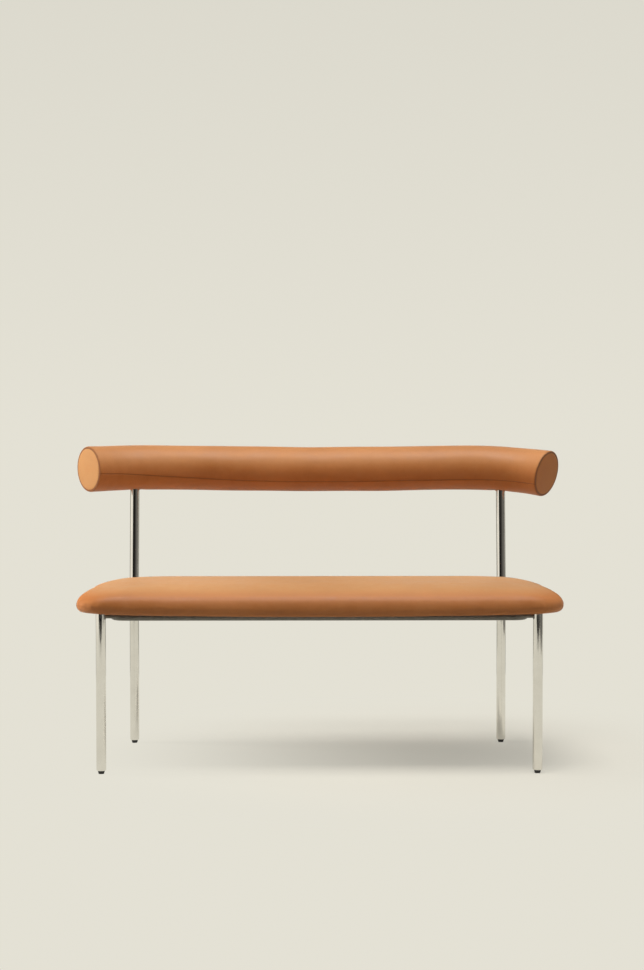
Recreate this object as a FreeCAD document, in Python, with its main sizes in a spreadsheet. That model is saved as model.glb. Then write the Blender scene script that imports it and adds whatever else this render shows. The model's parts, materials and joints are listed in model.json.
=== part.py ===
"""Two-seat bench sofa: a crowned leather seat and a curved bolster back on a welded tube frame.

Millimetres. +X is to the right as seen from the front, +Y to the back, +Z up.
The origin is on the floor, under the middle of the outer box.
"""
import FreeCAD
import Part
import Sketcher
import os
from math import asin, cos, pi, radians, sin, sqrt

Vector = FreeCAD.Vector
UP = Vector(0, 0, 1)
RIGHT = Vector(1, 0, 0)
SIDES = {"left": -1, "right": 1}

# Driving dimensions, in millimetres and degrees
SIZES = {
    # Tube frame: how far the legs stand in from the seat's sides, tube sections and the bend above the seat
    "front_leg_inset": 65,
    "rear_leg_inset": 108,
    "leg_depth": 460,
    "leg_d": 25,
    "leg_wall": 2,
    "rail_d": 18,
    "rail_wall": 1.5,
    "rear_rail_set": 65,
    "rail_bend_r": 30,
    "rail_gap": 8,
    "stay_d": 10,
    "stay_rise": 2,
    "rail_top": 404,
    "weld_gap": 0.2,
    "recline_deg": 6,
    "recline_z": 430,
    "recline_bend_r": 150,
    # Screw feet and the plugs in the tube ends
    "pad_height": 7.7,
    "pad_top_d": 18,
    "pad_bottom_d": 14,
    "pad_floor_t": 2,
    "foot_gap": 0.3,
    "stud_d": 7.8,
    "stud_length": 28,
    "thread_fit": 0.1,
    "plug_flange_t": 4,
    "plug_round_r": 2.5,
    "plug_shank_length": 18,
    "plug_fit": 0.1,
    # Seat: outline, profile and layers
    "seat_width": 1230,
    "seat_overhang": 35,
    "seat_rear_gap": 6,
    "seat_thickness": 68,
    "seat_nose_height": 20,
    "seat_nose_inset": 17,
    "seat_corner_r": 78,
    "seat_bow": 8,
    "seat_clearance": 0.3,
    "leather_t": 1.6,
    "fit_gap": 0.2,
    "board_t": 12,
    "board_inset": 30,
    "board_corner_r": 60,
    "turn_under": 46,
    "dust_t": 0.8,
    "dust_inset": 34,
    # Seat fixings
    "fixing_inset": 130,
    "tab_width": 32,
    "tab_length": 34,
    "tab_t": 3,
    "screw_d": 6,
    "screw_length": 15,
    "screw_head_d": 11,
    "screw_head_h": 3.3,
    "screw_hole_play": 0.6,
    "nut_flange_d": 19,
    "nut_flange_t": 1.5,
    "nut_barrel_d": 8.4,
    "nut_barrel_length": 8.5,
    # Back: bolster, its core and the sleeves on the posts
    "back_d": 121,
    "back_z": 758.5,
    "post_on_bend": 77,
    "back_bend_r": 336,
    "back_turn_deg": 36.5,
    "cap_rise": 4,
    "disc_t": 14,
    "disc_bore_depth": 8,
    "disc_bore_play": 0.8,
    "disc_rim_play": 0.8,
    "core_d": 30,
    "core_wall": 2,
    "socket_d": 34,
    "socket_length": 36,
    "socket_fit": 0.2,
    "post_end_gap": 2,
    "set_screw_d": 6,
    # How far a cutting shape passes the piece that it cuts
    "overrun": 5,
}

# Places worked out from the driving dimensions
PLACES = {
    "front_x": "Sizes.seat_width / 2 - Sizes.front_leg_inset",
    "rear_x": "Sizes.seat_width / 2 - Sizes.rear_leg_inset",
    "fixing_x": "front_x - Sizes.fixing_inset",
    "back_half": "rear_x - Sizes.post_on_bend",
    "plug_z": "Sizes.pad_height + Sizes.foot_gap",
    "leg_z": "plug_z + Sizes.plug_flange_t",
    "rail_z": "Sizes.rail_top - Sizes.rail_d / 2",
    "lean": "(Sizes.back_z - Sizes.recline_z) * tan(Sizes.recline_deg)",
    "back_set": "Sizes.back_bend_r - sqrt(Sizes.back_bend_r ^ 2 - Sizes.post_on_bend ^ 2)",
    "depth_behind": "Sizes.leg_depth + lean + back_set + Sizes.back_d / 2",
    "front_y": "(Sizes.seat_overhang - depth_behind) / 2",
    "rear_y": "front_y + Sizes.leg_depth",
    "post_y": "rear_y + lean",
    "rear_rail_y": "rear_y - Sizes.rear_rail_set",
    "loop_x": "front_x - Sizes.leg_d / 2 - Sizes.rail_gap - Sizes.rail_d / 2",
    "loop_run": "sqrt(Sizes.leg_depth ^ 2 + (loop_x - rear_x) ^ 2)",
    "loop_in": "(loop_x - rear_x) / loop_run",
    "loop_back": "Sizes.leg_depth / loop_run",
    "bend_run": "Sizes.rail_bend_r * (1 + loop_in) / loop_back",
    "side_start": "bend_run + Sizes.weld_gap",
    "stay_x": "loop_x - Sizes.rail_bend_r / 2",
    "rear_rail_x": "rear_x + (loop_x - rear_x) * Sizes.rear_rail_set / Sizes.leg_depth",
    "back_y": "post_y + back_set",
    "seat_front": "front_y - Sizes.seat_overhang",
    "seat_rear": "rear_y - Sizes.leg_d / 2 - Sizes.seat_rear_gap",
    "dust_z": "Sizes.rail_top + Sizes.seat_clearance",
    "seat_z": "dust_z + Sizes.dust_t",
    "board_z": "seat_z + Sizes.leather_t",
    "tab_start": "sqrt((Sizes.rail_d / 2) ^ 2 - (Sizes.rail_d / 2 - Sizes.tab_t) ^ 2) + Sizes.weld_gap",
    "tab_z": "Sizes.rail_top - Sizes.tab_t",
    "fixing_reach": "tab_start + Sizes.tab_length / 2",
    "nut_z": "board_z + Sizes.board_t - Sizes.nut_flange_t - Sizes.nut_barrel_length",
}

doc = FreeCAD.newDocument("bench_sofa")


def make_sheet(name, cells, formula):
    """A sheet with one aliased cell a row. Formula cells may use the rows above them."""
    sheet = doc.addObject("Spreadsheet::Sheet", name)
    for row, (alias, content) in enumerate(cells.items(), 1):
        sheet.set(f"A{row}", alias)
        sheet.set(f"B{row}", f"={content}" if formula else str(content))
        sheet.setAlias(f"B{row}", alias)
    doc.recompute()
    return sheet


sizes = make_sheet("Sizes", SIZES, formula=False)
places = make_sheet("Places", PLACES, formula=True)


def size(alias):
    return float(sizes.get(alias))


def at(alias):
    return float(places.get(alias))


def bind(obj, **expressions):
    """Ties properties of an object to the sheets."""
    for prop, text in expressions.items():
        obj.setExpression(prop, text)
    return obj


def put(obj, x="0", y="0", z="0", turned=None):
    """Ties an object's place to the sheets; turned is a fixed rotation."""
    obj.Placement = FreeCAD.Placement(Vector(), turned or FreeCAD.Rotation())
    for key, text in (("x", x), ("y", y), ("z", z)):
        obj.setExpression(f"Placement.Base.{key}", text)
    return obj


def cylinder(name, radius, length, x="0", y="0", z="0", turned=None):
    obj = doc.addObject("Part::Cylinder", name)
    bind(obj, Radius=radius, Height=length)
    return put(obj, x, y, z, turned)


def cut(name, base, tool):
    obj = doc.addObject("Part::Cut", name)
    obj.Base = base
    obj.Tool = tool
    obj.Label = name
    return obj


def group(name, members):
    obj = doc.addObject("Part::Compound", name)
    obj.Links = members
    obj.Label = name
    return obj


def solid_feature(name, shape):
    """A sub-part whose shape is worked out here from the sheets' values."""
    obj = doc.addObject("Part::Feature", name)
    obj.Shape = shape
    obj.Label = name
    return obj


def new_body(name):
    body = doc.addObject("PartDesign::Body", name)
    body.Label = name
    return body


def new_sketch(body, name, role):
    """A sketch on one of its body's own origin planes."""
    sketch = body.newObject("Sketcher::SketchObject", name)
    plane = next(f for f in body.Origin.OriginFeatures if f.Role == role)
    sketch.AttachmentSupport = [(plane, "")]
    sketch.MapMode = "FlatFace"
    return sketch


def driven(sketch, expression, *constraint):
    """Adds one dimension to a sketch and ties it to the sheets."""
    index = sketch.addConstraint(Sketcher.Constraint(*constraint))
    sketch.setExpression(f"Constraints[{index}]", expression)


def read(text):
    """The value of an expression, in millimetres."""
    return float(places.evalExpression(text))


def draw_outline(sketch, points):
    """A closed outline of straight lines through points given as pairs of expressions, none negative."""
    corners = [Vector(read(x), read(y), 0) for x, y in points]
    for start, end in zip(corners, corners[1:] + corners[:1]):
        sketch.addGeometry(Part.LineSegment(start, end), False)
    last = len(points) - 1
    for index, (x, y) in enumerate(points):
        previous = index - 1 if index else last
        sketch.addConstraint(Sketcher.Constraint("Coincident", previous, 2, index, 1))
        for text, axis, kind in ((x, -2, "DistanceX"), (y, -1, "DistanceY")):
            if text == "0":
                sketch.addConstraint(Sketcher.Constraint("PointOnObject", index, 1, axis))
            else:
                driven(sketch, text, kind, -1, 1, index, 1, read(text))


def turned_body(name, points, x, y, z):
    """A body turned about its own upright axis from an outline of radius and height pairs."""
    body = new_body(name)
    sketch = new_sketch(body, f"{name}_profile", "XZ_Plane")
    draw_outline(sketch, points)
    turn = body.newObject("PartDesign::Revolution", f"{name}_turn")
    turn.Profile = sketch
    turn.ReferenceAxis = (sketch, ["V_Axis"])
    turn.Angle = 360
    doc.recompute()
    return put(body, x, y, z)


def round_rims(body, name, chosen, radius):
    """Rounds the edges of a body's last feature that chosen picks."""
    base = body.Tip
    picked = [f"Edge{i}" for i, edge in enumerate(base.Shape.Edges, 1) if chosen(edge)]
    fillet = body.newObject("PartDesign::Fillet", name)
    fillet.Base = (base, picked)
    fillet.setExpression("Radius", radius)
    doc.recompute()


def ring_sketch(body, name, outer, inner):
    """Two circles about the body's upright axis, for a tube's section."""
    sketch = new_sketch(body, name, "XY_Plane")
    for index, text in enumerate((outer, inner)):
        sketch.addGeometry(Part.Circle(Vector(), UP, read(text)), False)
        sketch.addConstraint(Sketcher.Constraint("Coincident", index, 3, -1, 1))
        driven(sketch, text, "Radius", index, read(text))
    return sketch


LEG_RADIUS = "Sizes.leg_d / 2"
LEG_BORE = "Sizes.leg_d / 2 - Sizes.leg_wall"
LEG_CLEAR = "Sizes.leg_d / 2 + Sizes.weld_gap"


def front_leg(side):
    """A straight tube from its plug to the underside of the seat."""
    sign = SIDES[side]
    spot = (f"{sign} * Places.front_x", "Places.front_y", "Places.leg_z")
    length = "Sizes.rail_top - Places.leg_z"
    outer = cylinder(f"front_leg_{side}_outside", LEG_RADIUS, length, *spot)
    bore = cylinder(f"front_leg_{side}_bore", LEG_BORE, length, *spot)
    return cut(f"front_leg_{side}", outer, bore)


def rear_leg(side):
    """A tube that stands upright to the seat, then leans back and runs on as a post into the bolster."""
    body = new_body(f"rear_leg_{side}")
    section = ring_sketch(body, f"rear_leg_{side}_section", LEG_RADIUS, LEG_BORE)
    spine = new_sketch(body, f"rear_leg_{side}_spine", "YZ_Plane")
    bend_r, lean = size("recline_bend_r"), radians(size("recline_deg"))
    tangent = "Sizes.recline_bend_r * tan(Sizes.recline_deg / 2)"
    low = f"Sizes.recline_z - Places.leg_z - {tangent}"
    high = (
        "(Sizes.back_z - Sizes.recline_z) / cos(Sizes.recline_deg)"
        f" - {tangent} - Sizes.core_d / 2 - Sizes.post_end_gap"
    )
    knee = Vector(0, read(low), 0)
    centre = knee + Vector(bend_r, 0, 0)
    leave = centre + Vector(-bend_r * cos(lean), bend_r * sin(lean), 0)
    end = leave + Vector(sin(lean), cos(lean), 0) * read(high)
    spine.addGeometry(Part.LineSegment(Vector(), knee), False)
    spine.addGeometry(Part.ArcOfCircle(Part.Circle(centre, UP, bend_r), pi - lean, pi), False)
    spine.addGeometry(Part.LineSegment(leave, end), False)
    for constraint in (
        ("Coincident", 0, 1, -1, 1),
        ("Vertical", 0),
        ("Tangent", 0, 2, 1, 2),
        ("Tangent", 1, 1, 2, 1),
    ):
        spine.addConstraint(Sketcher.Constraint(*constraint))
    driven(spine, low, "DistanceY", 0, 1, 0, 2, read(low))
    driven(spine, "Sizes.recline_bend_r", "Radius", 1, bend_r)
    rise = "Sizes.recline_bend_r * sin(Sizes.recline_deg)"
    driven(spine, rise, "DistanceY", 1, 2, 1, 1, read(rise))
    driven(spine, high, "Distance", 2, read(high))
    doc.recompute()
    pipe = body.newObject("PartDesign::AdditivePipe", f"rear_leg_{side}_tube")
    pipe.Profile = section
    pipe.Spine = (spine, ["Edge1", "Edge2", "Edge3"])
    return put(body, f"{SIDES[side]} * Places.rear_x", "Places.rear_y", "Places.leg_z")


def coped_rail(name, length, x, y, turned, copes):
    """A tube between the axes of two other tubes, with its ends cut to their round sides."""
    spot = (x, y, "Places.rail_z", turned)
    outer = cylinder(f"{name}_outside", "Sizes.rail_d / 2", length, *spot)
    bore = cylinder(f"{name}_bore", "Sizes.rail_d / 2 - Sizes.rail_wall", length, *spot)
    rail = cut(f"{name}_tube", outer, bore)
    for index, cope in enumerate(copes, 1):
        rail = cut(f"{name}_cut_{index}", rail, cope)
    rail.Label = name
    return rail


def leg_cope(name, x, y):
    """The room that a leg takes out of a rail's end."""
    return cylinder(f"{name}_cope", LEG_CLEAR, "Sizes.rail_top", x, y, "Sizes.rail_d")


ACROSS = FreeCAD.Rotation(UP, RIGHT)
RAIL_CLEAR = "Sizes.rail_d / 2 + Sizes.weld_gap"


def along_side(side):
    """The turn that lays a tube along one side, back to the rear leg, which stands nearer the middle."""
    return FreeCAD.Rotation(UP, Vector(SIDES[side] * (at("rear_x") - at("loop_x")), size("leg_depth"), 0))


def bar_along(path, radius):
    """A round bar along a path of lines and arcs."""
    first = path.OrderedEdges[0]
    start = first.valueAt(first.FirstParameter)
    ring = Part.Wire([Part.makeCircle(radius, start, first.tangentAt(first.FirstParameter))])
    bar = path.makePipeShell([ring], True, False)
    expected = pi * radius ** 2 * path.Length
    print(f"bar of radius {radius:.1f}: volume over section times length {bar.Volume / expected:.6f}")
    return bar


def bent_ends(bends):
    """A path with a straight middle and an arc at each end; each arc is given from the middle outwards."""
    edges = [
        Part.Arc(*reversed(bends[-1])),
        Part.LineSegment(bends[-1][0], bends[1][0]),
        Part.Arc(*bends[1]),
    ]
    return Part.Wire([edge.toShape() for edge in edges])


def front_rail_path():
    """The front rail's centre line: straight across, with a bend to the back at each end."""
    y, z, radius, run = at("front_y"), at("rail_z"), size("rail_bend_r"), at("bend_run")
    bends = {}
    for sign in SIDES.values():
        corner = Vector(sign * at("loop_x"), y, z)
        start = corner - Vector(sign * run, 0, 0)
        end = corner + Vector(-sign * at("loop_in") * run, at("loop_back") * run, 0)
        centre = start + Vector(0, radius, 0)
        middle = centre + (corner - centre).normalize() * radius
        bends[sign] = (start, middle, end)
    return bent_ends(bends)


def front_rail():
    """The rail that shows under the front of the seat, bent back behind the legs at both ends."""
    radius = size("rail_d") / 2
    tube = bar_along(front_rail_path(), radius).cut(bar_along(front_rail_path(), radius - size("rail_wall")))
    return solid_feature("front_rail", tube)


def leg_stay(side):
    """A short pin that joins a front leg to the bend of the front rail."""
    spot = {"left": "-Places.front_x", "right": "Places.stay_x"}[side]
    place = (spot, "Places.front_y", "Places.rail_z + Sizes.stay_rise", ACROSS)
    pin = cylinder(f"leg_stay_{side}_bar", "Sizes.stay_d / 2", "Places.front_x - Places.stay_x", *place)
    leg = leg_cope(f"leg_stay_{side}", f"{SIDES[side]} * Places.front_x", "Places.front_y")
    clear = size("rail_d") / 2 + size("weld_gap")
    rail = solid_feature(f"leg_stay_{side}_rail", bar_along(front_rail_path(), clear))
    return cut(f"leg_stay_{side}", cut(f"leg_stay_{side}_at_leg", pin, leg), rail)


def rear_rail():
    """The rail under the rear of the seat, from side rail to side rail."""
    copes = [
        cylinder(
            f"rear_rail_{side}_cope",
            RAIL_CLEAR,
            "Places.loop_run",
            f"{sign} * Places.loop_x",
            "Places.front_y",
            "Places.rail_z",
            along_side(side),
        )
        for side, sign in SIDES.items()
    ]
    start = ("-Places.rear_rail_x", "Places.rear_rail_y")
    return coped_rail("rear_rail", "2 * Places.rear_rail_x", *start, ACROSS, copes)


def side_rail(side):
    """A rail from the front rail's bend back to a rear leg."""
    sign = SIDES[side]
    start = (
        f"{sign} * (Places.loop_x - Places.loop_in * Places.side_start)",
        "Places.front_y + Places.loop_back * Places.side_start",
    )
    cope = leg_cope(f"side_rail_{side}", f"{sign} * Places.rear_x", "Places.rear_y")
    length = "Places.loop_run - Places.side_start"
    return coped_rail(f"side_rail_{side}", length, *start, along_side(side), [cope])


def leg_plug(corner, x, y):
    """A chromed plug that closes a tube end and takes the thread of the foot."""
    flange, shank = LEG_RADIUS, f"{LEG_BORE} - Sizes.plug_fit"
    bore = "Sizes.stud_d / 2 + Sizes.thread_fit"
    top = "Sizes.plug_flange_t + Sizes.plug_shank_length"
    seat = "Sizes.plug_flange_t"
    points = [(bore, "0"), (flange, "0"), (flange, seat), (shank, seat), (shank, top), (bore, top)]
    body = turned_body(f"leg_plug_{corner}", points, x, y, "Places.plug_z")
    rim = read(flange)
    round_rims(
        body,
        f"leg_plug_{corner}_round",
        lambda e: abs(e.Length - 2 * pi * rim) < rim and e.BoundBox.ZMax < size("fit_gap"),
        "Sizes.plug_round_r",
    )
    return body


def foot_stud(corner, x, y):
    """The screw of a foot, with its lower end held in the glide."""
    radius = "Sizes.stud_d / 2"
    points = [("0", "0"), (radius, "0"), (radius, "Sizes.stud_length"), ("0", "Sizes.stud_length")]
    return turned_body(f"foot_stud_{corner}", points, x, y, "Sizes.pad_floor_t + Sizes.foot_gap")


def foot_pad(corner, x, y):
    """The black tapered glide that stands on the floor."""
    low, high, bore = "Sizes.pad_bottom_d / 2", "Sizes.pad_top_d / 2", "Sizes.stud_d / 2 + Sizes.thread_fit"
    top, floor = "Sizes.pad_height", "Sizes.pad_floor_t"
    points = [("0", "0"), (low, "0"), (high, top), (bore, top), (bore, floor), ("0", floor)]
    return turned_body(f"foot_pad_{corner}", points, x, y, "0")


def build_frame():
    names = []
    for side, sign in SIDES.items():
        names += [make(side).Label for make in (front_leg, rear_leg, side_rail, leg_stay)]
        for end in ("front", "rear"):
            corner = f"{end}_{side}"
            spot = (f"{sign} * Places.{end}_x", f"Places.{end}_y")
            names += [make(corner, *spot).Label for make in (leg_plug, foot_stud, foot_pad)]
    return names + [front_rail().Label, rear_rail().Label]


CROWN_RUN_SHARE = 0.315
CORNER_MOST_SHARE = 0.9
NOSE_TURN_SHARES = (0, 0.34, 0.67)
CROWN_TURN_SHARES = (0, 0.2, 0.4, 0.6, 0.8, 1)


def seat_outline(inset, z):
    """The seat's outline at one height, drawn in by inset: bowed front, straight sides, round corners."""
    half = size("seat_width") / 2 - inset
    front, rear = at("seat_front") + size("seat_bow") + inset, at("seat_rear") - inset
    corner = min(size("seat_corner_r"), CORNER_MOST_SHARE * (rear - front) / 2)
    middle = corner * (1 - cos(pi / 4))

    def point(x, y):
        return Vector(x, y, z)

    def rounded(x, y, to_x, to_y):
        """A corner at (x, y), from the upright edge to the level one."""
        return (
            point(x, y + to_y * corner),
            point(x + to_x * middle, y + to_y * middle),
            point(x + to_x * corner, y),
        )

    front_left, front_right = rounded(-half, front, 1, 1), rounded(half, front, -1, 1)
    rear_right, rear_left = rounded(half, rear, -1, -1), rounded(-half, rear, 1, -1)
    bow = point(0, front - size("seat_bow"))
    edges = [
        Part.Arc(*front_left),
        Part.Arc(front_left[2], bow, front_right[2]),
        Part.Arc(*reversed(front_right)),
        Part.LineSegment(front_right[0], rear_right[0]),
        Part.Arc(*rear_right),
        Part.LineSegment(rear_right[2], rear_left[2]),
        Part.Arc(*reversed(rear_left)),
        Part.LineSegment(rear_left[0], front_left[0]),
    ]
    return Part.Wire([edge.toShape() for edge in edges])


def seat_form(skin):
    """The crowned seat pad, drawn in by skin all over: a round nose with a long crown above it."""
    low, thickness = at("seat_z"), size("seat_thickness")
    nose, crown = size("seat_nose_height"), thickness - size("seat_nose_height")
    crown_run = CROWN_RUN_SHARE * (at("seat_rear") - at("seat_front"))
    profile = []
    for share in NOSE_TURN_SHARES:
        turn = share * pi / 2
        profile.append((size("seat_nose_inset") * (1 - sin(turn)), nose * (1 - cos(turn))))
    for share in CROWN_TURN_SHARES:
        turn = share * pi / 2
        profile.append((crown_run * (1 - cos(turn)), nose + crown * sin(turn)))
    shrink = 1 - 2 * skin / thickness
    wires = [seat_outline(inset + skin, low + skin + height * shrink) for inset, height in profile]
    return Part.makeLoft(wires, True, False)


def prism(outline, height):
    return Part.Face(outline).extrude(UP * height)


def seat_cover():
    """The leather, over the pad and turned in under the board."""
    skin = size("leather_t")
    opening = prism(seat_outline(size("turn_under"), at("seat_z") - size("overrun")), 2 * size("overrun"))
    return solid_feature("seat_cover", seat_form(0).cut(seat_form(skin)).cut(opening))


def seat_foam():
    """The foam pad, which wraps the edge of the board."""
    play = size("fit_gap")
    pad = seat_form(size("leather_t") + play)
    low = at("board_z") - size("overrun")
    room = rounded_slab(size("board_inset") - play, size("board_corner_r"), low)
    room = room.extrude(UP * (at("board_z") + size("board_t") + play - low))
    return solid_feature("seat_foam", pad.cut(room))


def rounded_slab(inset, corner, z):
    """A rectangle with round corners, drawn in from the seat's outline, as a face at height z."""
    half = size("seat_width") / 2 - inset
    front, rear = at("seat_front") + inset, at("seat_rear") - inset
    box = Part.makePlane(2 * half, rear - front, Vector(-half, front, z))
    slab = box.extrude(UP)
    upright = [edge for edge in slab.Edges if abs(edge.tangentAt(edge.FirstParameter).z) > cos(pi / 4)]
    slab = slab.makeFillet(corner, upright)
    return min(slab.Faces, key=lambda face: face.CenterOfMass.z)


FIXINGS = [(column, row) for row in ("front", "rear") for column in (-1, 0, 1)]


def fixing_spot(column, row):
    """Where one seat screw stands, as a pair of expressions."""
    rail = "Places.front_y +" if row == "front" else "Places.rear_rail_y -"
    return f"{column} * Places.fixing_x", f"{rail} Places.fixing_reach"


def plate_body(name, inset, thickness, z):
    """A flat plate under the seat with round corners, drawn in from the seat's outline."""
    body = new_body(name)
    sketch = new_sketch(body, f"{name}_outline", "XY_Plane")
    width = f"Sizes.seat_width - 2 * {inset}"
    depth = f"Places.seat_rear - Places.seat_front - 2 * {inset}"
    draw_outline(sketch, [("0", "0"), (width, "0"), (width, depth), ("0", depth)])
    pad = body.newObject("PartDesign::Pad", f"{name}_pad")
    pad.Profile = sketch
    bind(pad, Length=thickness)
    doc.recompute()
    tall = read(thickness)

    def upright(edge):
        return abs(edge.BoundBox.ZLength - tall) < tall / 2

    round_rims(body, f"{name}_corners", upright, "Sizes.board_corner_r")
    return put(body, f"{inset} - Sizes.seat_width / 2", f"Places.seat_front + {inset}", z)


def drilled(name, plate, holes):
    """Cuts upright holes, each a (label, radius, length, x, y, z), in a plate."""
    plate.Label = f"{name}_blank"
    tools = [cylinder(f"{name}_{label}", *hole) for label, *hole in holes]
    return cut(name, plate, group(f"{name}_holes", tools))


def seat_board():
    """The plywood seat board, bored and counterbored for the tee nuts."""
    plate = plate_body("seat_board", "Sizes.board_inset", "Sizes.board_t", "Places.board_z")
    bore = "Sizes.nut_barrel_d / 2 + Sizes.fit_gap"
    flange = "Sizes.nut_flange_d / 2 + Sizes.fit_gap"
    seat = "Places.board_z + Sizes.board_t - Sizes.nut_flange_t"
    through, below = "Sizes.board_t + 2 * Sizes.overrun", "Places.board_z - Sizes.overrun"
    holes = []
    for index, spot in enumerate(FIXINGS):
        x, y = fixing_spot(*spot)
        holes.append((f"bore_{index}", bore, through, x, y, below))
        holes.append((f"seat_{index}", flange, "Sizes.nut_flange_t + Sizes.overrun", x, y, seat))
    return drilled("seat_board_drilled", plate, holes)


def dust_cover():
    """The black cloth that closes the underside, with holes for the screws."""
    plate = plate_body("dust_cover", "Sizes.dust_inset", "Sizes.dust_t", "Places.dust_z")
    hole = "Sizes.screw_d / 2 + Sizes.screw_hole_play"
    through, below = "Sizes.dust_t + 2 * Sizes.overrun", "Places.dust_z - Sizes.overrun"
    holes = []
    for index, spot in enumerate(FIXINGS):
        holes.append((f"hole_{index}", hole, through, *fixing_spot(*spot), below))
    return drilled("dust_cover_drilled", plate, holes)


def seat_tab(index, column, row):
    """A plate welded to a rail, flush with its top, with a screw hole."""
    x, y = fixing_spot(column, row)
    plate = doc.addObject("Part::Box", f"tab_plate_{index}")
    bind(plate, Length="Sizes.tab_width", Width="Sizes.tab_length", Height="Sizes.tab_t")
    put(plate, f"{x} - Sizes.tab_width / 2", f"{y} - Sizes.tab_length / 2", "Places.tab_z")
    hole = cylinder(
        f"tab_hole_{index}",
        "Sizes.screw_d / 2 + Sizes.screw_hole_play / 2",
        "Sizes.tab_t + 2 * Sizes.overrun",
        x,
        y,
        "Places.tab_z - Sizes.overrun",
    )
    return cut(f"seat_tab_{index}", plate, hole)


def seat_screw(index, column, row):
    """A screw from below, with its head against the tab."""
    head, shank, neck = "Sizes.screw_head_d / 2", "Sizes.screw_d / 2", "Sizes.screw_head_h"
    tip = "Sizes.screw_head_h + Sizes.screw_length"
    points = [("0", "0"), (head, "0"), (head, neck), (shank, neck), (shank, tip), ("0", tip)]
    low = "Places.tab_z - Sizes.screw_head_h"
    return turned_body(f"seat_screw_{index}", points, *fixing_spot(column, row), low)


def tee_nut(index, column, row):
    """A flanged nut let into the top of the board."""
    bore = "Sizes.screw_d / 2 + Sizes.thread_fit"
    barrel, flange = "Sizes.nut_barrel_d / 2", "Sizes.nut_flange_d / 2"
    neck, top = "Sizes.nut_barrel_length", "Sizes.nut_barrel_length + Sizes.nut_flange_t"
    points = [(bore, "0"), (barrel, "0"), (barrel, neck), (flange, neck), (flange, top), (bore, top)]
    return turned_body(f"tee_nut_{index}", points, *fixing_spot(column, row), "Places.nut_z")


def build_seat():
    names = [seat_cover().Label, seat_foam().Label]
    for name, make in (("seat_board", seat_board), ("dust_cover", dust_cover)):
        made = make()
        made.Label = name
        names.append(made.Label)
    for name, make in (("seat_tabs", seat_tab), ("seat_screws", seat_screw), ("seat_tee_nuts", tee_nut)):
        members = [make(index, *spot) for index, spot in enumerate(FIXINGS)]
        names.append(group(name, members).Label)
    return names


def back_path(trim):
    """The bolster's centre line: a straight middle and ends that bend forward, less trim at each end."""
    half, bend = at("back_half"), size("back_bend_r")
    turn = radians(size("back_turn_deg")) - trim / bend

    def on_bend(sign, angle):
        x, y = half + bend * sin(angle), at("back_y") - bend * (1 - cos(angle))
        return Vector(sign * x, y, size("back_z"))

    return bent_ends({sign: [on_bend(sign, turn * step / 2) for step in range(3)] for sign in SIDES.values()})


def swept(radius, trim):
    """A round bar along the bolster's centre line."""
    return bar_along(back_path(trim), radius)


def post_bar(side, radius, far, near):
    """A round bar on a post's own line, from far to near below the bolster's centre line."""
    lean = radians(size("recline_deg"))
    along = Vector(0, sin(lean), cos(lean))
    centre = Vector(SIDES[side] * at("rear_x"), at("post_y"), size("back_z"))
    return Part.makeCylinder(radius, far - near, centre - along * far, along)


def disc_inside():
    """How far the inner face of an end disc lies from the bolster's end."""
    return size("leather_t") + size("fit_gap") + size("disc_t")


def back_core():
    """The bent tube inside the bolster, let into the end discs."""
    trim = disc_inside() - size("disc_bore_depth") + size("fit_gap")
    radius = size("core_d") / 2
    return solid_feature("back_core", swept(radius, trim).cut(swept(radius - size("core_wall"), trim)))


def socket_ends():
    """The far and near ends of a post socket, below the bolster's centre line."""
    near = size("core_d") / 2 - size("core_wall")
    return size("core_d") / 2 + size("socket_length"), near


def set_screw_bar(side, radius, inner, outer):
    """A bar square to a post, pointing back, half way down its socket."""
    lean = radians(size("recline_deg"))
    along, out = Vector(0, sin(lean), cos(lean)), Vector(0, cos(lean), -sin(lean))
    down = size("core_d") / 2 + size("socket_length") / 2
    centre = Vector(SIDES[side] * at("rear_x"), at("post_y"), size("back_z")) - along * down
    return Part.makeCylinder(radius, outer - inner, centre + out * inner, out)


def post_socket(side):
    """A sleeve under the core tube that takes the top of a post."""
    far, near = socket_ends()
    sleeve = post_bar(side, size("socket_d") / 2, far, near)
    bore = post_bar(side, size("leg_d") / 2 + size("socket_fit"), far, near)
    core = swept(size("core_d") / 2 + size("weld_gap"), disc_inside())
    hole = set_screw_bar(side, size("set_screw_d") / 2 + size("thread_fit"), 0, size("socket_d"))
    return solid_feature(f"post_socket_{side}", sleeve.cut(bore).cut(core).cut(hole))


def socket_screws():
    """The set screws that hold the posts in their sockets."""
    inner = size("leg_d") / 2 + size("thread_fit")
    outer = sqrt((size("socket_d") / 2) ** 2 - (size("set_screw_d") / 2) ** 2)
    bars = [set_screw_bar(side, size("set_screw_d") / 2, inner, outer) for side in SIDES]
    return solid_feature("socket_screws", Part.makeCompound(bars))


def back_foam():
    """The foam round the core, between the end discs, with room for the sockets and the posts."""
    play = size("fit_gap")
    foam = swept(size("back_d") / 2 - size("leather_t") - play, 0)
    foam = foam.cut(swept(size("core_d") / 2 + play, -size("overrun")))
    for side in SIDES:
        far, near = socket_ends()
        foam = foam.cut(post_bar(side, size("socket_d") / 2 + play, far + play, 0))
        foam = foam.cut(post_bar(side, size("leg_d") / 2 + play, size("back_d"), near))
        inside = disc_inside() + play
        beyond = Part.makeCylinder(size("back_d"), size("back_d"), Vector(0, 0, -inside))
        foam = foam.cut(at_end(side, beyond))
    return solid_feature("back_foam", foam)


def back_cover():
    """The leather sleeve, with a hole for each post."""
    sleeve = swept(size("back_d") / 2, 0)
    sleeve = sleeve.cut(swept(size("back_d") / 2 - size("leather_t"), -size("overrun")))
    for side in SIDES:
        sleeve = sleeve.cut(post_bar(side, size("leg_d") / 2 + size("fit_gap"), size("back_d"), 0))
    return solid_feature("back_cover", sleeve)


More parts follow.
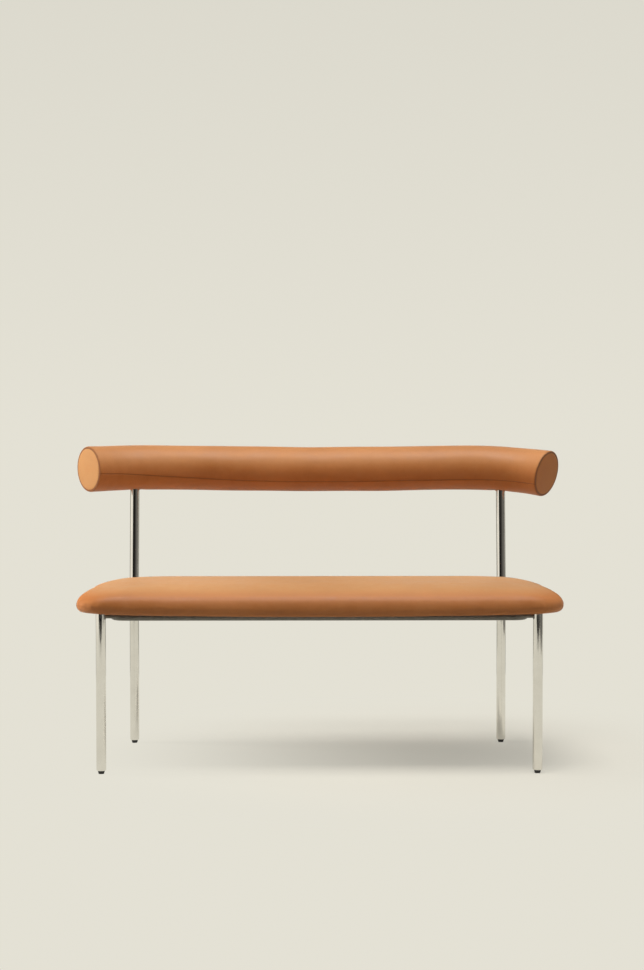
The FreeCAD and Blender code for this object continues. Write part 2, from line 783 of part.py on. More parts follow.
def at_end(side, shape):
    """Moves a shape made about +Z, with its base at the bolster's end plane, to that end."""
    edge = back_path(0).OrderedEdges[-1]
    spot, out = edge.valueAt(edge.LastParameter), edge.tangentAt(edge.LastParameter)
    sign = SIDES[side]
    shape.Placement = FreeCAD.Placement(
        Vector(sign * spot.x, spot.y, spot.z),
        FreeCAD.Rotation(UP, Vector(sign * out.x, out.y, out.z)),
    )
    return shape


def domed_solid(radius, top, bottom=None):
    """A round solid about +Z under a dome with its rim at top: flat at bottom, or a skin if bottom is None."""
    rise = size("cap_rise")
    sphere_r = (radius ** 2 + rise ** 2) / (2 * rise)
    half_turn = asin(radius / sphere_r) / 2

    def dome(level):
        middle = Vector(sphere_r * sin(half_turn), 0, level + rise - sphere_r * (1 - cos(half_turn)))
        return Part.Arc(Vector(radius, 0, level), middle, Vector(0, 0, level + rise)).toShape()

    if bottom is None:
        low = top - size("leather_t")
        apex, lower = Vector(0, 0, low + rise), dome(low)
    else:
        low = bottom
        apex, lower = Vector(0, 0, low), Part.makeLine(Vector(radius, 0, low), Vector(0, 0, low))
    side = Part.makeLine(Vector(radius, 0, top), Vector(radius, 0, low))
    axis = Part.makeLine(Vector(0, 0, top + rise), apex)
    outline = Part.Wire(Part.__sortEdges__([dome(top), side, lower, axis]))
    return Part.makeSolid(Part.Face(outline).revolve(Vector(), UP, 360))


def back_cap(side):
    """The domed leather disc sewn into one end of the sleeve."""
    cap = domed_solid(size("back_d") / 2 - size("leather_t") - size("fit_gap"), 0)
    return solid_feature(f"back_cap_{side}", at_end(side, cap))


def back_end_disc(side):
    """The domed wooden disc behind a cap, bored to take the end of the core."""
    top = -size("leather_t") - size("fit_gap")
    radius = size("back_d") / 2 - size("leather_t") - size("disc_rim_play")
    disc = domed_solid(radius, top, top - size("disc_t"))
    bore = Part.makeCylinder(
        size("core_d") / 2 + size("disc_bore_play"),
        size("disc_bore_depth") + size("overrun"),
        Vector(0, 0, top - size("disc_t") - size("overrun")),
    )
    return solid_feature(f"back_end_disc_{side}", at_end(side, disc.cut(bore)))


def build_back():
    made = [back_core(), socket_screws(), back_foam(), back_cover()]
    for side in SIDES:
        made += [make(side) for make in (post_socket, back_cap, back_end_disc)]
    return [obj.Label for obj in made]


def check_and_write(names):
    """Stops on any failed object or bad solid, then writes one file a sub-part."""
    doc.recompute()
    for obj in doc.Objects:
        if {"Invalid", "Error"} & set(obj.State):
            raise RuntimeError(f"{obj.Label} failed: {obj.State}")
    shapes = {name: doc.getObjectsByLabel(name)[0].Shape for name in names}
    for name, shape in shapes.items():
        if shape.isNull() or not shape.isValid() or not shape.Solids:
            raise RuntimeError(f"{name} has no valid solid")
    os.makedirs("parts", exist_ok=True)
    for name, shape in shapes.items():
        shape.exportStep(f"parts/{name}.step")
    print(f"{len(shapes)} sub-parts written")


check_and_write(build_frame() + build_seat() + build_back())
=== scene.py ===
"""Looks of the two-seat bench sofa: leather, finishes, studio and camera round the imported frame.

All lengths are in metres. +X is to the viewer's right, +Y to the back and +Z up.
"""
import json
import math

import bmesh
import bpy
import numpy as np
from mathutils import Matrix, Vector


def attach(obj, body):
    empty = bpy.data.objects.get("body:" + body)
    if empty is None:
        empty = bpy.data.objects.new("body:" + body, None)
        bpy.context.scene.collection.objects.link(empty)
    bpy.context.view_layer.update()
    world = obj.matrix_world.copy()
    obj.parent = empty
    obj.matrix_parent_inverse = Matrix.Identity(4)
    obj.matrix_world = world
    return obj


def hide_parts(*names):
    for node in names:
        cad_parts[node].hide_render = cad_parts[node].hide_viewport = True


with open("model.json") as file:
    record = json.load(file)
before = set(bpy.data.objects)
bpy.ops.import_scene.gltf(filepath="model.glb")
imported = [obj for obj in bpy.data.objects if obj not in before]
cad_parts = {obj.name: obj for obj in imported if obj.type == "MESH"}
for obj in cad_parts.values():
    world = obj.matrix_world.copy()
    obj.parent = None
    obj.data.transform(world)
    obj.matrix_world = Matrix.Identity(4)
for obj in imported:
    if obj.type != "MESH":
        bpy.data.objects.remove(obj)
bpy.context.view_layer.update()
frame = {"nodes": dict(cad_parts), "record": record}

MM = 0.001
CLOTH_FRAMES = 20
CLOTH_PRESSURE = 4.0
RELAX_FACTOR = 0.5


# Small helpers for meshes.


def new_object(name, data):
    """An object that shows the data, linked into the scene."""
    holder = bpy.data.objects.new(name, data)
    bpy.context.scene.collection.objects.link(holder)
    return holder


def new_piece(name, points, faces, slot):
    """A piece on the bench body, from its points and faces, in the finish of one slot."""
    mesh = bpy.data.meshes.new(name)
    mesh.from_pydata([tuple(p) for p in points], [], faces)
    shell = bmesh.new()
    shell.from_mesh(mesh)
    bpy.data.meshes.remove(mesh)
    return shell_piece(name, shell, slot)


def shell_piece(name, shell, slot, material=None):
    """The same from an edit mesh, with its faces turned outwards."""
    bmesh.ops.recalc_face_normals(shell, faces=shell.faces)
    mesh = bpy.data.meshes.new(name)
    shell.to_mesh(mesh)
    shell.free()
    mesh.shade_smooth()
    return finish_piece(new_object(name, mesh), slot, material)


def finish_piece(piece, slot, material=None):
    """Puts a piece on the bench in the finish of its slot, or in a material of its own."""
    piece.data.materials.clear()
    piece.data.materials.append(material or MATERIALS[slot])
    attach(piece, "bench")
    return piece


def get_points(mesh):
    flat = np.empty(len(mesh.vertices) * 3)
    mesh.vertices.foreach_get("co", flat)
    return flat.reshape(-1, 3)


def set_points(mesh, points):
    mesh.vertices.foreach_set("co", np.asarray(points, float).ravel())
    mesh.update()


def write_share(mesh, name, values):
    """Stores a share from 0 to 1 on each point: the painted shade near a seam, or the painted paler tone
    where light falls on the leather.
    """
    layer = mesh.attributes.new(name, "FLOAT", "POINT")
    layer.data.foreach_set("value", np.asarray(values, np.float32))


def apply_modifiers(piece):
    """Turns what the modifiers make into the piece's own mesh."""
    bpy.context.view_layer.update()
    graph = bpy.context.evaluated_depsgraph_get()
    mesh = bpy.data.meshes.new_from_object(piece.evaluated_get(graph))
    piece.modifiers.clear()
    piece.data = mesh
    mesh.shade_smooth()


def refine(piece):
    """Splits every face once, and rounds the form."""
    fine = piece.modifiers.new("Fine", "SUBSURF")
    fine.levels = fine.render_levels = 1
    apply_modifiers(piece)


def relax(piece, times, group=""):
    """Evens out the points of a piece, or of one of its vertex groups."""
    even = piece.modifiers.new("Relax", "SMOOTH")
    even.factor = RELAX_FACTOR
    even.iterations = times
    even.vertex_group = group
    apply_modifiers(piece)


def rings_to_faces(rows, around, looped=False):
    """Quads between closed rings of equal count, and from the last ring to the first if looped."""
    faces = []
    for row in range(rows if looped else rows - 1):
        low, high = row * around, (row + 1) % rows * around
        for k in range(around):
            after = (k + 1) % around
            faces.append((low + k, low + after, high + after, high + k))
    return faces


def closed_faces(rows, around):
    """The same quads, with a face over the first ring and one over the last."""
    faces = rings_to_faces(rows, around)
    faces.append(tuple(range(around - 1, -1, -1)))
    faces.append(tuple((rows - 1) * around + k for k in range(around)))
    return faces


def smooth_step(value, low, high):
    share = np.clip((value - low) / (high - low), 0, 1)
    return share * share * (3 - 2 * share)


def inflate(piece, pinned, most):
    """Swells a closed mesh with a cloth simulation; no point moves further than most."""
    pins = piece.vertex_groups.new(name="pins")
    pins.add([int(i) for i in pinned], 1.0, "REPLACE")
    cloth = piece.modifiers.new("Cloth", "CLOTH")
    cloth.settings.use_pressure = True
    cloth.settings.uniform_pressure_force = CLOTH_PRESSURE
    cloth.settings.effector_weights.gravity = 0
    cloth.settings.vertex_group_mass = pins.name
    cloth.point_cache.frame_start = 1
    cloth.point_cache.frame_end = CLOTH_FRAMES
    scene = bpy.context.scene
    for number in range(1, CLOTH_FRAMES + 1):
        scene.frame_set(number)
    graph = bpy.context.evaluated_depsgraph_get()
    before = get_points(piece.data)
    moved = get_points(piece.evaluated_get(graph).data) - before
    length = np.linalg.norm(moved, axis=1)
    share = np.minimum(1, most / np.maximum(length, 1e-9))
    piece.modifiers.remove(cloth)
    piece.vertex_groups.remove(pins)
    scene.frame_set(1)
    set_points(piece.data, before + moved * share[:, None])


# Small helpers for materials.


def blank_tree(owner):
    """The emptied node tree of a material or a world."""
    owner.use_nodes = True
    owner.node_tree.nodes.clear()
    return owner.node_tree


def add(tree, kind, inputs=None, **settings):
    """A shader node with its settings, and its inputs given as values or as sockets to link."""
    node = tree.nodes.new("ShaderNode" + kind)
    for name, value in settings.items():
        setattr(node, name, value)
    for key, value in (inputs or {}).items():
        if isinstance(value, bpy.types.NodeSocket):
            tree.links.new(value, node.inputs[key])
        else:
            node.inputs[key].default_value = value
    return node


def noise(tree, coords, scale, detail=3.0, rough=0.55):
    inputs = {"Vector": coords, "Scale": scale, "Detail": detail, "Roughness": rough}
    return add(tree, "TexNoise", inputs).outputs[0]


def wave(tree, coords, scale, distortion=0.0, direction="X"):
    inputs = {"Vector": coords, "Scale": scale, "Distortion": distortion}
    return add(tree, "TexWave", inputs, bands_direction=direction).outputs[1]


def stretch(tree, coords, scale):
    return add(tree, "Mapping", {"Vector": coords, "Scale": scale}).outputs[0]


def spread(tree, value, low, high, to_low, to_high):
    """Maps a value's low to high range onto another range."""
    inputs = {"Value": value, "From Min": low, "From Max": high, "To Min": to_low, "To Max": to_high}
    return add(tree, "MapRange", inputs).outputs[0]


def mix(tree, share, first, second):
    return add(tree, "Mix", {0: share, 6: first, 7: second}, data_type="RGBA").outputs[2]


def blend(tree, value, low, high, first, second):
    """Goes from one colour to another while a value goes from low to high."""
    return mix(tree, spread(tree, value, low, high, 0.0, 1.0), first, second)


def maths(tree, operation, first, second):
    return add(tree, "Math", {0: first, 1: second}, operation=operation).outputs[0]


def bump(tree, height, strength, distance, under=None):
    inputs = {"Height": height, "Strength": strength, "Distance": distance}
    if under is not None:
        inputs["Normal"] = under
    return add(tree, "Bump", inputs).outputs[0]


def stored(tree, name):
    """A share that write_share put on the points."""
    return add(tree, "Attribute", attribute_name=name).outputs["Fac"]


def rgb(red, green, blue):
    return (red, green, blue, 1.0)


def new_material(name, paint):
    """A material whose paint function returns the inputs of its one shader."""
    material = bpy.data.materials.new(name)
    tree = blank_tree(material)
    coords = add(tree, "TexCoord").outputs["Object"]
    shader = add(tree, "BsdfPrincipled", paint(tree, coords))
    add(tree, "OutputMaterial", {0: shader.outputs[0]})
    return material


# One paint function for each finish.


def coat(colour, roughness, normal, metallic=0.0):
    return {"Base Color": colour, "Roughness": roughness, "Normal": normal, "Metallic": metallic}


def paint_leather(tree, coords):
    """Smooth tan hide: cloudy dye, painted paler where light falls on the tops and the lit end, pebbled
    grain with pores, painted shade in the seams.
    """
    cloud = noise(tree, coords, 5.5, 5.0, 0.6)
    patch = noise(tree, coords, 42.0, 4.0, 0.6)
    shade = spread(tree, cloud, 0.32, 0.68, 0.0, 1.0)
    crease = leather_creases(tree, coords)
    pore = spread(tree, noise(tree, coords, 1500.0, 1.0), 0.62, 0.75, 1.0, 0.0)
    dye = mix(tree, shade, rgb(0.50, 0.170, 0.040), rgb(0.60, 0.220, 0.062))
    pale = mix(tree, shade, rgb(0.58, 0.295, 0.112), rgb(0.66, 0.350, 0.140))
    # Painted highlight: paler where light falls on the tops and on the lit left end.
    dye = mix(tree, stored(tree, "painted_light"), dye, pale)
    dye = mix(tree, spread(tree, patch, 0.35, 0.7, 0.0, 0.25), dye, rgb(0.64, 0.275, 0.095))
    dye = mix(tree, spread(tree, crease, 0.0, 1.0, 0.16, 0.0), dye, rgb(0.22, 0.07, 0.02))
    # Painted shade: darker along the seams and down into the tucked ends.
    seam = maths(tree, "MULTIPLY", stored(tree, "seam"), 0.65)
    dye = mix(tree, seam, dye, rgb(0.12, 0.036, 0.012))
    grain = bump(tree, crease, 0.16, 0.0004)
    grain = bump(tree, pore, 0.12, 0.0003, grain)
    grain = bump(tree, patch, 0.10, 0.0016, grain)
    gloss = spread(tree, maths(tree, "ADD", cloud, patch), 0.75, 1.3, 0.48, 0.62)
    return {"Base Color": dye, "Roughness": gloss, "Normal": grain, "Specular IOR Level": 0.45,
            "Sheen Weight": 0.07, "Sheen Roughness": 0.4}


def leather_creases(tree, coords):
    """0 in the fine creases of the grain and 1 on its pebbles, which are bent out of line a little."""
    warp = add(tree, "TexNoise", {"Vector": coords, "Scale": 160.0, "Detail": 2.0}).outputs[1]
    shift = {0: warp, 1: (0.004, 0.004, 0.004), 2: coords}
    bent = add(tree, "VectorMath", shift, operation="MULTIPLY_ADD").outputs[0]
    cells = add(tree, "TexVoronoi", {"Vector": bent, "Scale": 620.0}, feature="DISTANCE_TO_EDGE")
    return spread(tree, cells.outputs[0], 0.0, 0.18, 0.0, 1.0)


def paint_thread(tree, coords):
    """Waxed sewing thread with a fine twist."""
    twist = wave(tree, coords, 900.0, 2.0)
    colour = mix(tree, twist, rgb(0.30, 0.12, 0.045), rgb(0.55, 0.27, 0.12))
    return coat(colour, spread(tree, twist, 0.0, 1.0, 0.5, 0.7), bump(tree, twist, 0.4, 0.0002))


def paint_chrome(tree, coords):
    """Polished plated tube with faint smears and hairline polishing marks."""
    smear = noise(tree, coords, 24.0, 4.0)
    hair = noise(tree, stretch(tree, coords, (900.0, 900.0, 14.0)), 1.0, 2.0)
    colour = blend(tree, smear, 0.3, 0.7, rgb(0.74, 0.72, 0.67), rgb(0.81, 0.79, 0.74))
    return coat(colour, spread(tree, smear, 0.35, 0.75, 0.045, 0.11), bump(tree, hair, 0.015, 0.0002), 1.0)


def paint_rail(tree, coords):
    """Dark grey satin lacquer with a fine peel and paler rubbed spots."""
    peel = noise(tree, coords, 900.0, 2.0)
    rub = noise(tree, coords, 70.0, 5.0)
    colour = blend(tree, rub, 0.4, 0.75, rgb(0.185, 0.175, 0.150), rgb(0.255, 0.240, 0.210))
    return coat(colour, spread(tree, rub, 0.3, 0.7, 0.30, 0.44), bump(tree, peel, 0.12, 0.0003))


def paint_glide(tree, coords):
    """Black moulded plastic with a fine spark texture."""
    spark = noise(tree, coords, 1800.0, 2.0)
    scuff = noise(tree, coords, 120.0, 4.0)
    colour = blend(tree, scuff, 0.45, 0.75, rgb(0.012, 0.012, 0.012), rgb(0.035, 0.034, 0.032))
    return coat(colour, spread(tree, scuff, 0.3, 0.7, 0.38, 0.6), bump(tree, spark, 0.25, 0.0003))


def paint_zinc(tree, coords):
    """Bright zinc plate with its pale cloudy bloom."""
    bloom = noise(tree, coords, 260.0, 4.0)
    colour = blend(tree, bloom, 0.3, 0.7, rgb(0.50, 0.52, 0.55), rgb(0.72, 0.72, 0.70))
    return coat(colour, spread(tree, bloom, 0.3, 0.7, 0.24, 0.42), bump(tree, bloom, 0.08, 0.0002), 1.0)


def paint_primer(tree, coords):
    """Black primer with a light orange peel."""
    peel = noise(tree, coords, 700.0, 2.0)
    dust = noise(tree, coords, 60.0, 4.0)
    colour = blend(tree, dust, 0.4, 0.75, rgb(0.016, 0.016, 0.017), rgb(0.05, 0.049, 0.046))
    return coat(colour, spread(tree, dust, 0.3, 0.7, 0.42, 0.62), bump(tree, peel, 0.15, 0.0003))


def paint_foam(tree, coords):
    """Cream open-cell foam."""
    cell = add(tree, "TexVoronoi", {"Vector": coords, "Scale": 800.0}).outputs[0]
    colour = blend(tree, cell, 0.0, 0.7, rgb(0.62, 0.52, 0.33), rgb(0.80, 0.72, 0.52))
    return coat(colour, 0.95, bump(tree, cell, 0.5, 0.0008))


def paint_plywood(tree, coords):
    """Birch plywood: long grain on the face and thin plies on the edge."""
    grain = noise(tree, stretch(tree, coords, (3.0, 70.0, 70.0)), 3.0, 5.0)
    plies = wave(tree, coords, 110.0, direction="Z")
    colour = blend(tree, grain, 0.3, 0.7, rgb(0.42, 0.27, 0.14), rgb(0.63, 0.46, 0.27))
    colour = mix(tree, spread(tree, plies, 0.4, 0.6, 0.0, 0.25), colour, rgb(0.25, 0.14, 0.07))
    return coat(colour, spread(tree, grain, 0.3, 0.7, 0.5, 0.7), bump(tree, grain, 0.1, 0.0004))


def paint_cloth(tree, coords):
    """Thin black woven dust cloth."""
    warp, weft = (wave(tree, coords, 190.0, 0.4, direction) for direction in "XY")
    weave = maths(tree, "MAXIMUM", warp, weft)
    lint = noise(tree, coords, 90.0, 4.0)
    colour = mix(tree, weave, rgb(0.008, 0.008, 0.009), rgb(0.030, 0.030, 0.031))
    colour = mix(tree, spread(tree, lint, 0.5, 0.8, 0.0, 0.5), colour, rgb(0.07, 0.068, 0.064))
    plain = coat(colour, spread(tree, weave, 0.0, 1.0, 0.95, 0.8), bump(tree, weave, 0.4, 0.0004))
    return {**plain, "Sheen Weight": 0.1}


PAINTS = {
    "tan_leather": paint_leather,
    "polished_chrome": paint_chrome,
    "rail_steel": paint_rail,
    "black_glide": paint_glide,
    "zinc_steel": paint_zinc,
    "frame_steel": paint_primer,
    "foam": paint_foam,
    "plywood": paint_plywood,
    "dust_cloth": paint_cloth,
}
MATERIALS = {slot: new_material(slot, paint) for slot, paint in PAINTS.items()}
THREAD = new_material("thread", paint_thread)


def paint_frame():
    """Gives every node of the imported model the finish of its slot."""
    for part in frame["record"]["subparts"]:
        node = frame["nodes"][part["node"]]
        node.data.materials.clear()
        node.data.materials.append(MATERIALS[part["material_slot"]])


# The seat pad. Its outline and profile, repeated from the part's sizes:

SEAT_HALF_WIDTH = 615 * MM
SEAT_FRONT = -299.5 * MM
SEAT_REAR = 177.0 * MM
SEAT_LOW = 405.2 * MM
SEAT_BOW = 8 * MM
SEAT_CORNER = 78 * MM
NOSE_HEIGHT = 20 * MM
NOSE_INSET = 17 * MM
NOSE_TOP = SEAT_LOW + NOSE_HEIGHT
CROWN_HEIGHT = 48 * MM
CROWN_RUN = 150 * MM
# The loft's flat rings under the board, and its steps.
UNDER_INSETS = (110 * MM, 60 * MM, NOSE_INSET + 8 * MM)
CORNER_STEPS = 20
LONG_STEPS = 120
SHORT_STEPS = 36
NOSE_STEPS = 8
CROWN_STEPS = 24
SEAT_VOXEL = 6 * MM
# The swelling lifts the crown and draws the edge in, so the seat starts this much lower and wider.
SEAT_SWELL = 5 * MM
CROWN_EASE = 5.5 * MM
EDGE_EASE = 5 * MM
# The right end is the fuller.
SIDE_EASE = {-1: 0 * MM, 1: 4.5 * MM}
SIDE_EASE_FROM = 400 * MM
# The corners grow rounder towards the crown, by this share of how far a ring is drawn in.
CORNER_GROWTH = 0.45
CORNER_LIMIT = 0.9
# The underside is held flat from this far inside the edge, so that the rolled edge stays whole.
HELD_INSET = 40 * MM
HELD_HEIGHT = 1 * MM
# How often the whole pad and then its crown are smoothed, and where the crown starts at the nose.
SEAT_SMOOTH = 4
CROWN_SMOOTH = 28
CROWN_BELOW = 6 * MM
CROWN_ABOVE = 12 * MM
CROWN_LEVELS = 10
# Leather turned in under the board: how low it lies, where it starts to lift, and how far.
TURNED_IN_FLAT = 0.8 * MM
TURNED_IN = (38 * MM, 52 * MM)
TURNED_IN_LIFT = 3 * MM
# The stuffed edge: its depth, what it loses at the ends, its width, and the height where it is gone.
LIP_DEPTH = 14.5 * MM
LIP_LOSS = 0.5
LIP_WIDTH = (9 * MM, 14 * MM)
LIP_FADE = 45 * MM
# The fall of the rear shoulders: how far, from which ends, over which depth and to which height.
REAR_EASE = 5.5 * MM
REAR_EASE_ENDS = (SEAT_HALF_WIDTH - 110 * MM, SEAT_HALF_WIDTH - 15 * MM)
REAR_EASE_DEPTH = (-140 * MM, 60 * MM)
REAR_EASE_HEIGHT = 15 * MM
# Painted highlight: the top is painted paler than the edge, for the light that falls on it, from one height
# above the board to another.
SEAT_PAINTED_LIGHT = 0.9
SEAT_PAINTED_LIGHT_HEIGHT = (38 * MM, 62 * MM)


def arc_points(centre, radius, start):
    """Points of a quarter turn, without its last."""
    turns = [math.radians(start + 90 * k / CORNER_STEPS) for k in range(CORNER_STEPS)]
    return [(centre[0] + radius * math.cos(t), centre[1] + radius * math.sin(t)) for t in turns]


def run_points(first, last, count):
    """Points of a straight run, without its last."""
    return [tuple(a + (b - a) * k / count for a, b in zip(first, last)) for k in range(count)]


def seat_ring(inset):
    """The seat's plan outline drawn in by inset: bowed front, straight sides and round corners."""
    corner = SEAT_CORNER + CORNER_GROWTH * inset
    inset -= EDGE_EASE
    half = SEAT_HALF_WIDTH - inset
    front, rear = SEAT_FRONT + SEAT_BOW + inset, SEAT_REAR - inset
    corner = min(corner, CORNER_LIMIT * (rear - front) / 2)
    wide, low, high = half - corner, front + corner, rear - corner
    ring = arc_points((wide, high), corner, 0)
    ring += run_points((wide, rear), (-wide, rear), LONG_STEPS)
    ring += arc_points((-wide, high), corner, 90)
    ring += run_points((-half, high), (-half, low), SHORT_STEPS)
    ring += arc_points((-wide, low), corner, 180)
    ring += run_points((-wide, front), (wide, front), LONG_STEPS)
    ring += arc_points((wide, low), corner, 270)
    ring += run_points((half, low), (half, high), SHORT_STEPS)
    return [(x + side_ease(x), y - bow_at(x, y, wide, low)) for x, y in ring]


def side_ease(x):
    """The extra width of each end."""
    share = float(smooth_step(abs(x), SIDE_EASE_FROM, SEAT_HALF_WIDTH))
    return share * SIDE_EASE[1] if x > 0 else -share * SIDE_EASE[-1]


def bow_at(x, y, wide, low):
    """How far the front edge stands out past a straight line, at its middle most."""
    if y > low or abs(x) > wide:
        return 0.0
    return SEAT_BOW * (1 - (x / wide) ** 2)


def seat_profile():
    """Inset and height of each ring, from under the board round the nose and over the crown."""
    rings = [(inset, 0.0) for inset in UNDER_INSETS]
    for k in range(NOSE_STEPS + 1):
        turn = math.pi / 2 * k / NOSE_STEPS
        rings.append((NOSE_INSET * (1 - math.sin(turn)), NOSE_HEIGHT * (1 - math.cos(turn))))
    rise = CROWN_HEIGHT - CROWN_EASE
    for k in range(1, CROWN_STEPS + 1):
        turn = math.pi / 2 * k / CROWN_STEPS
        rings.append((CROWN_RUN * (1 - math.cos(turn)), NOSE_HEIGHT + rise * math.sin(turn)))
    return rings


def seat_loft():
    """The seat's plain form, built up ring by ring."""
    profile = seat_profile()
    points = []
    for inset, height in profile:
        points += [(x, y, SEAT_LOW + height) for x, y in seat_ring(inset)]
    faces = closed_faces(len(profile), len(points) // len(profile))
    return new_piece("seat_pad", points, faces, "tan_leather")


def even_mesh(piece):
    """Gives a piece small faces of one size, drawn back onto its first form."""
    loft = new_object("loft", piece.data.copy())
    remesh = piece.modifiers.new("Remesh", "REMESH")
    remesh.mode = "VOXEL"
    remesh.voxel_size = SEAT_VOXEL
    even = piece.modifiers.new("Even", "SHRINKWRAP")
    even.target = loft
    apply_modifiers(piece)
    bpy.data.objects.remove(loft)


def seat_pad():
    """The tight leather seat: lofted from its outline, swelled by cloth and smoothed."""
    seat = seat_loft()
    even_mesh(seat)
    shape = get_points(seat.data)
    held = (shape[:, 2] < SEAT_LOW + HELD_HEIGHT) & (from_edge(shape) > HELD_INSET)
    inflate(seat, np.flatnonzero(held), SEAT_SWELL)
    relax(seat, SEAT_SMOOTH)
    settle_crown(seat)
    set_points(seat.data, rest_underside(get_points(seat.data)))
    refine(seat)
    set_points(seat.data, lower_lip(ease_rear(get_points(seat.data))))
    finish_piece(seat, "tan_leather")
    height = get_points(seat.data)[:, 2] - SEAT_LOW
    # Painted highlight: the top is painted paler for the light that falls on it.
    write_share(seat.data, "painted_light", SEAT_PAINTED_LIGHT * smooth_step(height, *SEAT_PAINTED_LIGHT_HEIGHT))
    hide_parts("seat_cover", "seat_foam")


def settle_crown(seat):
    """Rounds off the corners and shoulders above the nose, and leaves the edge as it is."""
    group = seat.vertex_groups.new(name="crown")
    share = smooth_step(get_points(seat.data)[:, 2], NOSE_TOP - CROWN_BELOW, NOSE_TOP + CROWN_ABOVE)
    for level in range(1, CROWN_LEVELS + 1):
        near = np.flatnonzero(np.round(share * CROWN_LEVELS) == level)
        group.add([int(i) for i in near], level / CROWN_LEVELS, "REPLACE")
    relax(seat, CROWN_SMOOTH, group.name)


def rest_underside(points):
    """Flattens the leather that is turned in under the board, and clears the dust cloth further in."""
    low = points[:, 2] < SEAT_LOW + TURNED_IN_FLAT
    points[low, 2] = SEAT_LOW + TURNED_IN_LIFT * smooth_step(from_edge(points[low]), *TURNED_IN)
    return points


def from_edge(points):
    """How far each point lies inside the seat's plan outline."""
    middle = (SEAT_FRONT + SEAT_BOW + SEAT_REAR) / 2
    half_depth = (SEAT_REAR - SEAT_FRONT - SEAT_BOW) / 2
    x, y = np.abs(points[:, 0]), points[:, 1]
    wide = SEAT_HALF_WIDTH - SEAT_CORNER
    bow = np.where(y < middle, SEAT_BOW * np.clip(1 - (x / wide) ** 2, 0, None), 0)
    over_x, over_y = x - wide, np.abs(y + bow - middle) - (half_depth - SEAT_CORNER)
    past_corner = np.hypot(np.clip(over_x, 0, None), np.clip(over_y, 0, None))
    return SEAT_CORNER - past_corner - np.minimum(np.maximum(over_x, over_y), 0)


def ease_rear(points):
    """Lets the shoulders of the two ends fall away a little towards the back."""
    x, y, z = np.abs(points[:, 0]), points[:, 1], points[:, 2]
    share = smooth_step(x, *REAR_EASE_ENDS) * smooth_step(y, *REAR_EASE_DEPTH)
    points[:, 2] -= REAR_EASE * share * smooth_step(z, NOSE_TOP, NOSE_TOP + REAR_EASE_HEIGHT)
    return points


def lower_lip(points):
    """Lets the stuffed edge hang a little below the board, in front of the rail, deepest in the middle."""
    depth = LIP_DEPTH * (1 - LIP_LOSS * np.clip(np.abs(points[:, 0]) / SEAT_HALF_WIDTH, 0, 1) ** 2)
    outer = 1 - smooth_step(from_edge(points), *LIP_WIDTH)
    low = 1 - smooth_step(points[:, 2] - SEAT_LOW, 0.0, LIP_FADE)
    points[:, 2] -= depth * outer * low
    return points


# The bolster. Its centre line and thickness, and where the posts go into it:

BACK_STRAIGHT = 430 * MM
BACK_BEND = 336 * MM
BACK_TURN = math.radians(36.5)
BACK_Y = 239.0 * MM
BACK_Z = 760.8 * MM
BACK_RADIUS = 61.8 * MM
BACK_HALF = BACK_STRAIGHT + BACK_BEND * BACK_TURN
BACK_END_X = BACK_STRAIGHT + BACK_BEND * math.sin(BACK_TURN)
POST_X = 507 * MM
POST_LEAN = math.radians(6)
POST_ALONG = BACK_STRAIGHT + BACK_BEND * math.asin((POST_X - BACK_STRAIGHT) / BACK_BEND)
POST_TURN = POST_LEAN - math.pi / 2
DENT_DEPTH = 1.8 * MM
DENT_WIDTH = 20 * MM
MID_SAG = 5.5 * MM
# How far each end droops, how steeply and from where, and how far its face leans outwards at the top.
END_DROOP = {-1: 4 * MM, 1: 16.5 * MM}
DROOP_POWER = {-1: 1.6, 1: 2.37}
DROOP_START = {-1: 0.86 * POST_X, 1: 0.70 * POST_X}
END_TILT = {-1: math.radians(2.0), 1: math.radians(12.4)}
TILT_RUN = 100 * MM
# Where the long seam runs round the bolster: share of the half length, and degrees above the front.
SEAM_TURN = ((-1, -9), (-0.75, -17), (-0.5, -28), (-0.25, -33), (0.25, -32), (0.75, -31), (1, -25))
SEAM_SAMPLES = 81
SEAM_BLUR = 17
# The seam's raised edges and the groove between them.
SEAM_RIDGE = 1.0 * MM
SEAM_RIDGE_WIDTH = 9 * MM
SEAM_GROOVE = 1.6 * MM
SEAM_GROOVE_WIDTH = 1.3 * MM
# Points: how far apart along the bolster, and round it those near the seam in millimetres and the rest.
ROW_PITCH = 5 * MM
SEAM_ROWS = (0, 0.5, 1.0, 1.6, 2.3, 3.2, 4.4, 6.0, 8.0, 10.5)
EVEN_ROWS = 61
# The cloth grid that swells the leather, and how often and how widely it is evened out.
BACK_SWELL = 1 * MM
SWELL_ROWS = 230
SWELL_AROUND = 96
SOFTEN_TIMES = 3
SOFTEN_REACH = 3
# Slow waves: rate along and round the bolster, phase, and height in millimetres.
WAVES = ((9.0, 1, 0.4, 0.40), (17.0, -2, 2.1, 0.28), (31.0, 1, 4.0, 0.22), (23.0, 3, 1.2, 0.20))
WAVE_FREE = 50 * MM
# Folds inside the bends: height, rate, where they are full past the straight, and their end at the cap.
FOLD_HEIGHT = 0.35 * MM
FOLD_RATE = 150
FOLD_START = 80 * MM
FOLD_END = (10 * MM, 60 * MM)
# The sewn ends: how the sleeve turns in, and its gathers.
END_ROUND = 4.5 * MM
END_STEPS = 4
RING_DEPTH = 7 * MM
RING_INSET = 1 * MM
GATHER_COUNT = 46
GATHER_HEIGHT = 0.3 * MM
GATHER_RUN = 9 * MM
GATHER_START = 4 * MM
# How far the painted shade spreads from the seams, and how much paler the upward faces are painted for the
# light on them, from one slope to another.
SEAM_SHADE_SPREAD = 0.9 * MM
RING_SHADE_SPREAD = 1.2 * MM
BACK_PAINTED_LIGHT = 0.35
BACK_PAINTED_LIGHT_SLOPE = (-0.15, 0.45)


def by_side(side, pair):
    """The left or right value of a pair, for each sign."""
    return np.where(side < 0, pair[-1], pair[1])


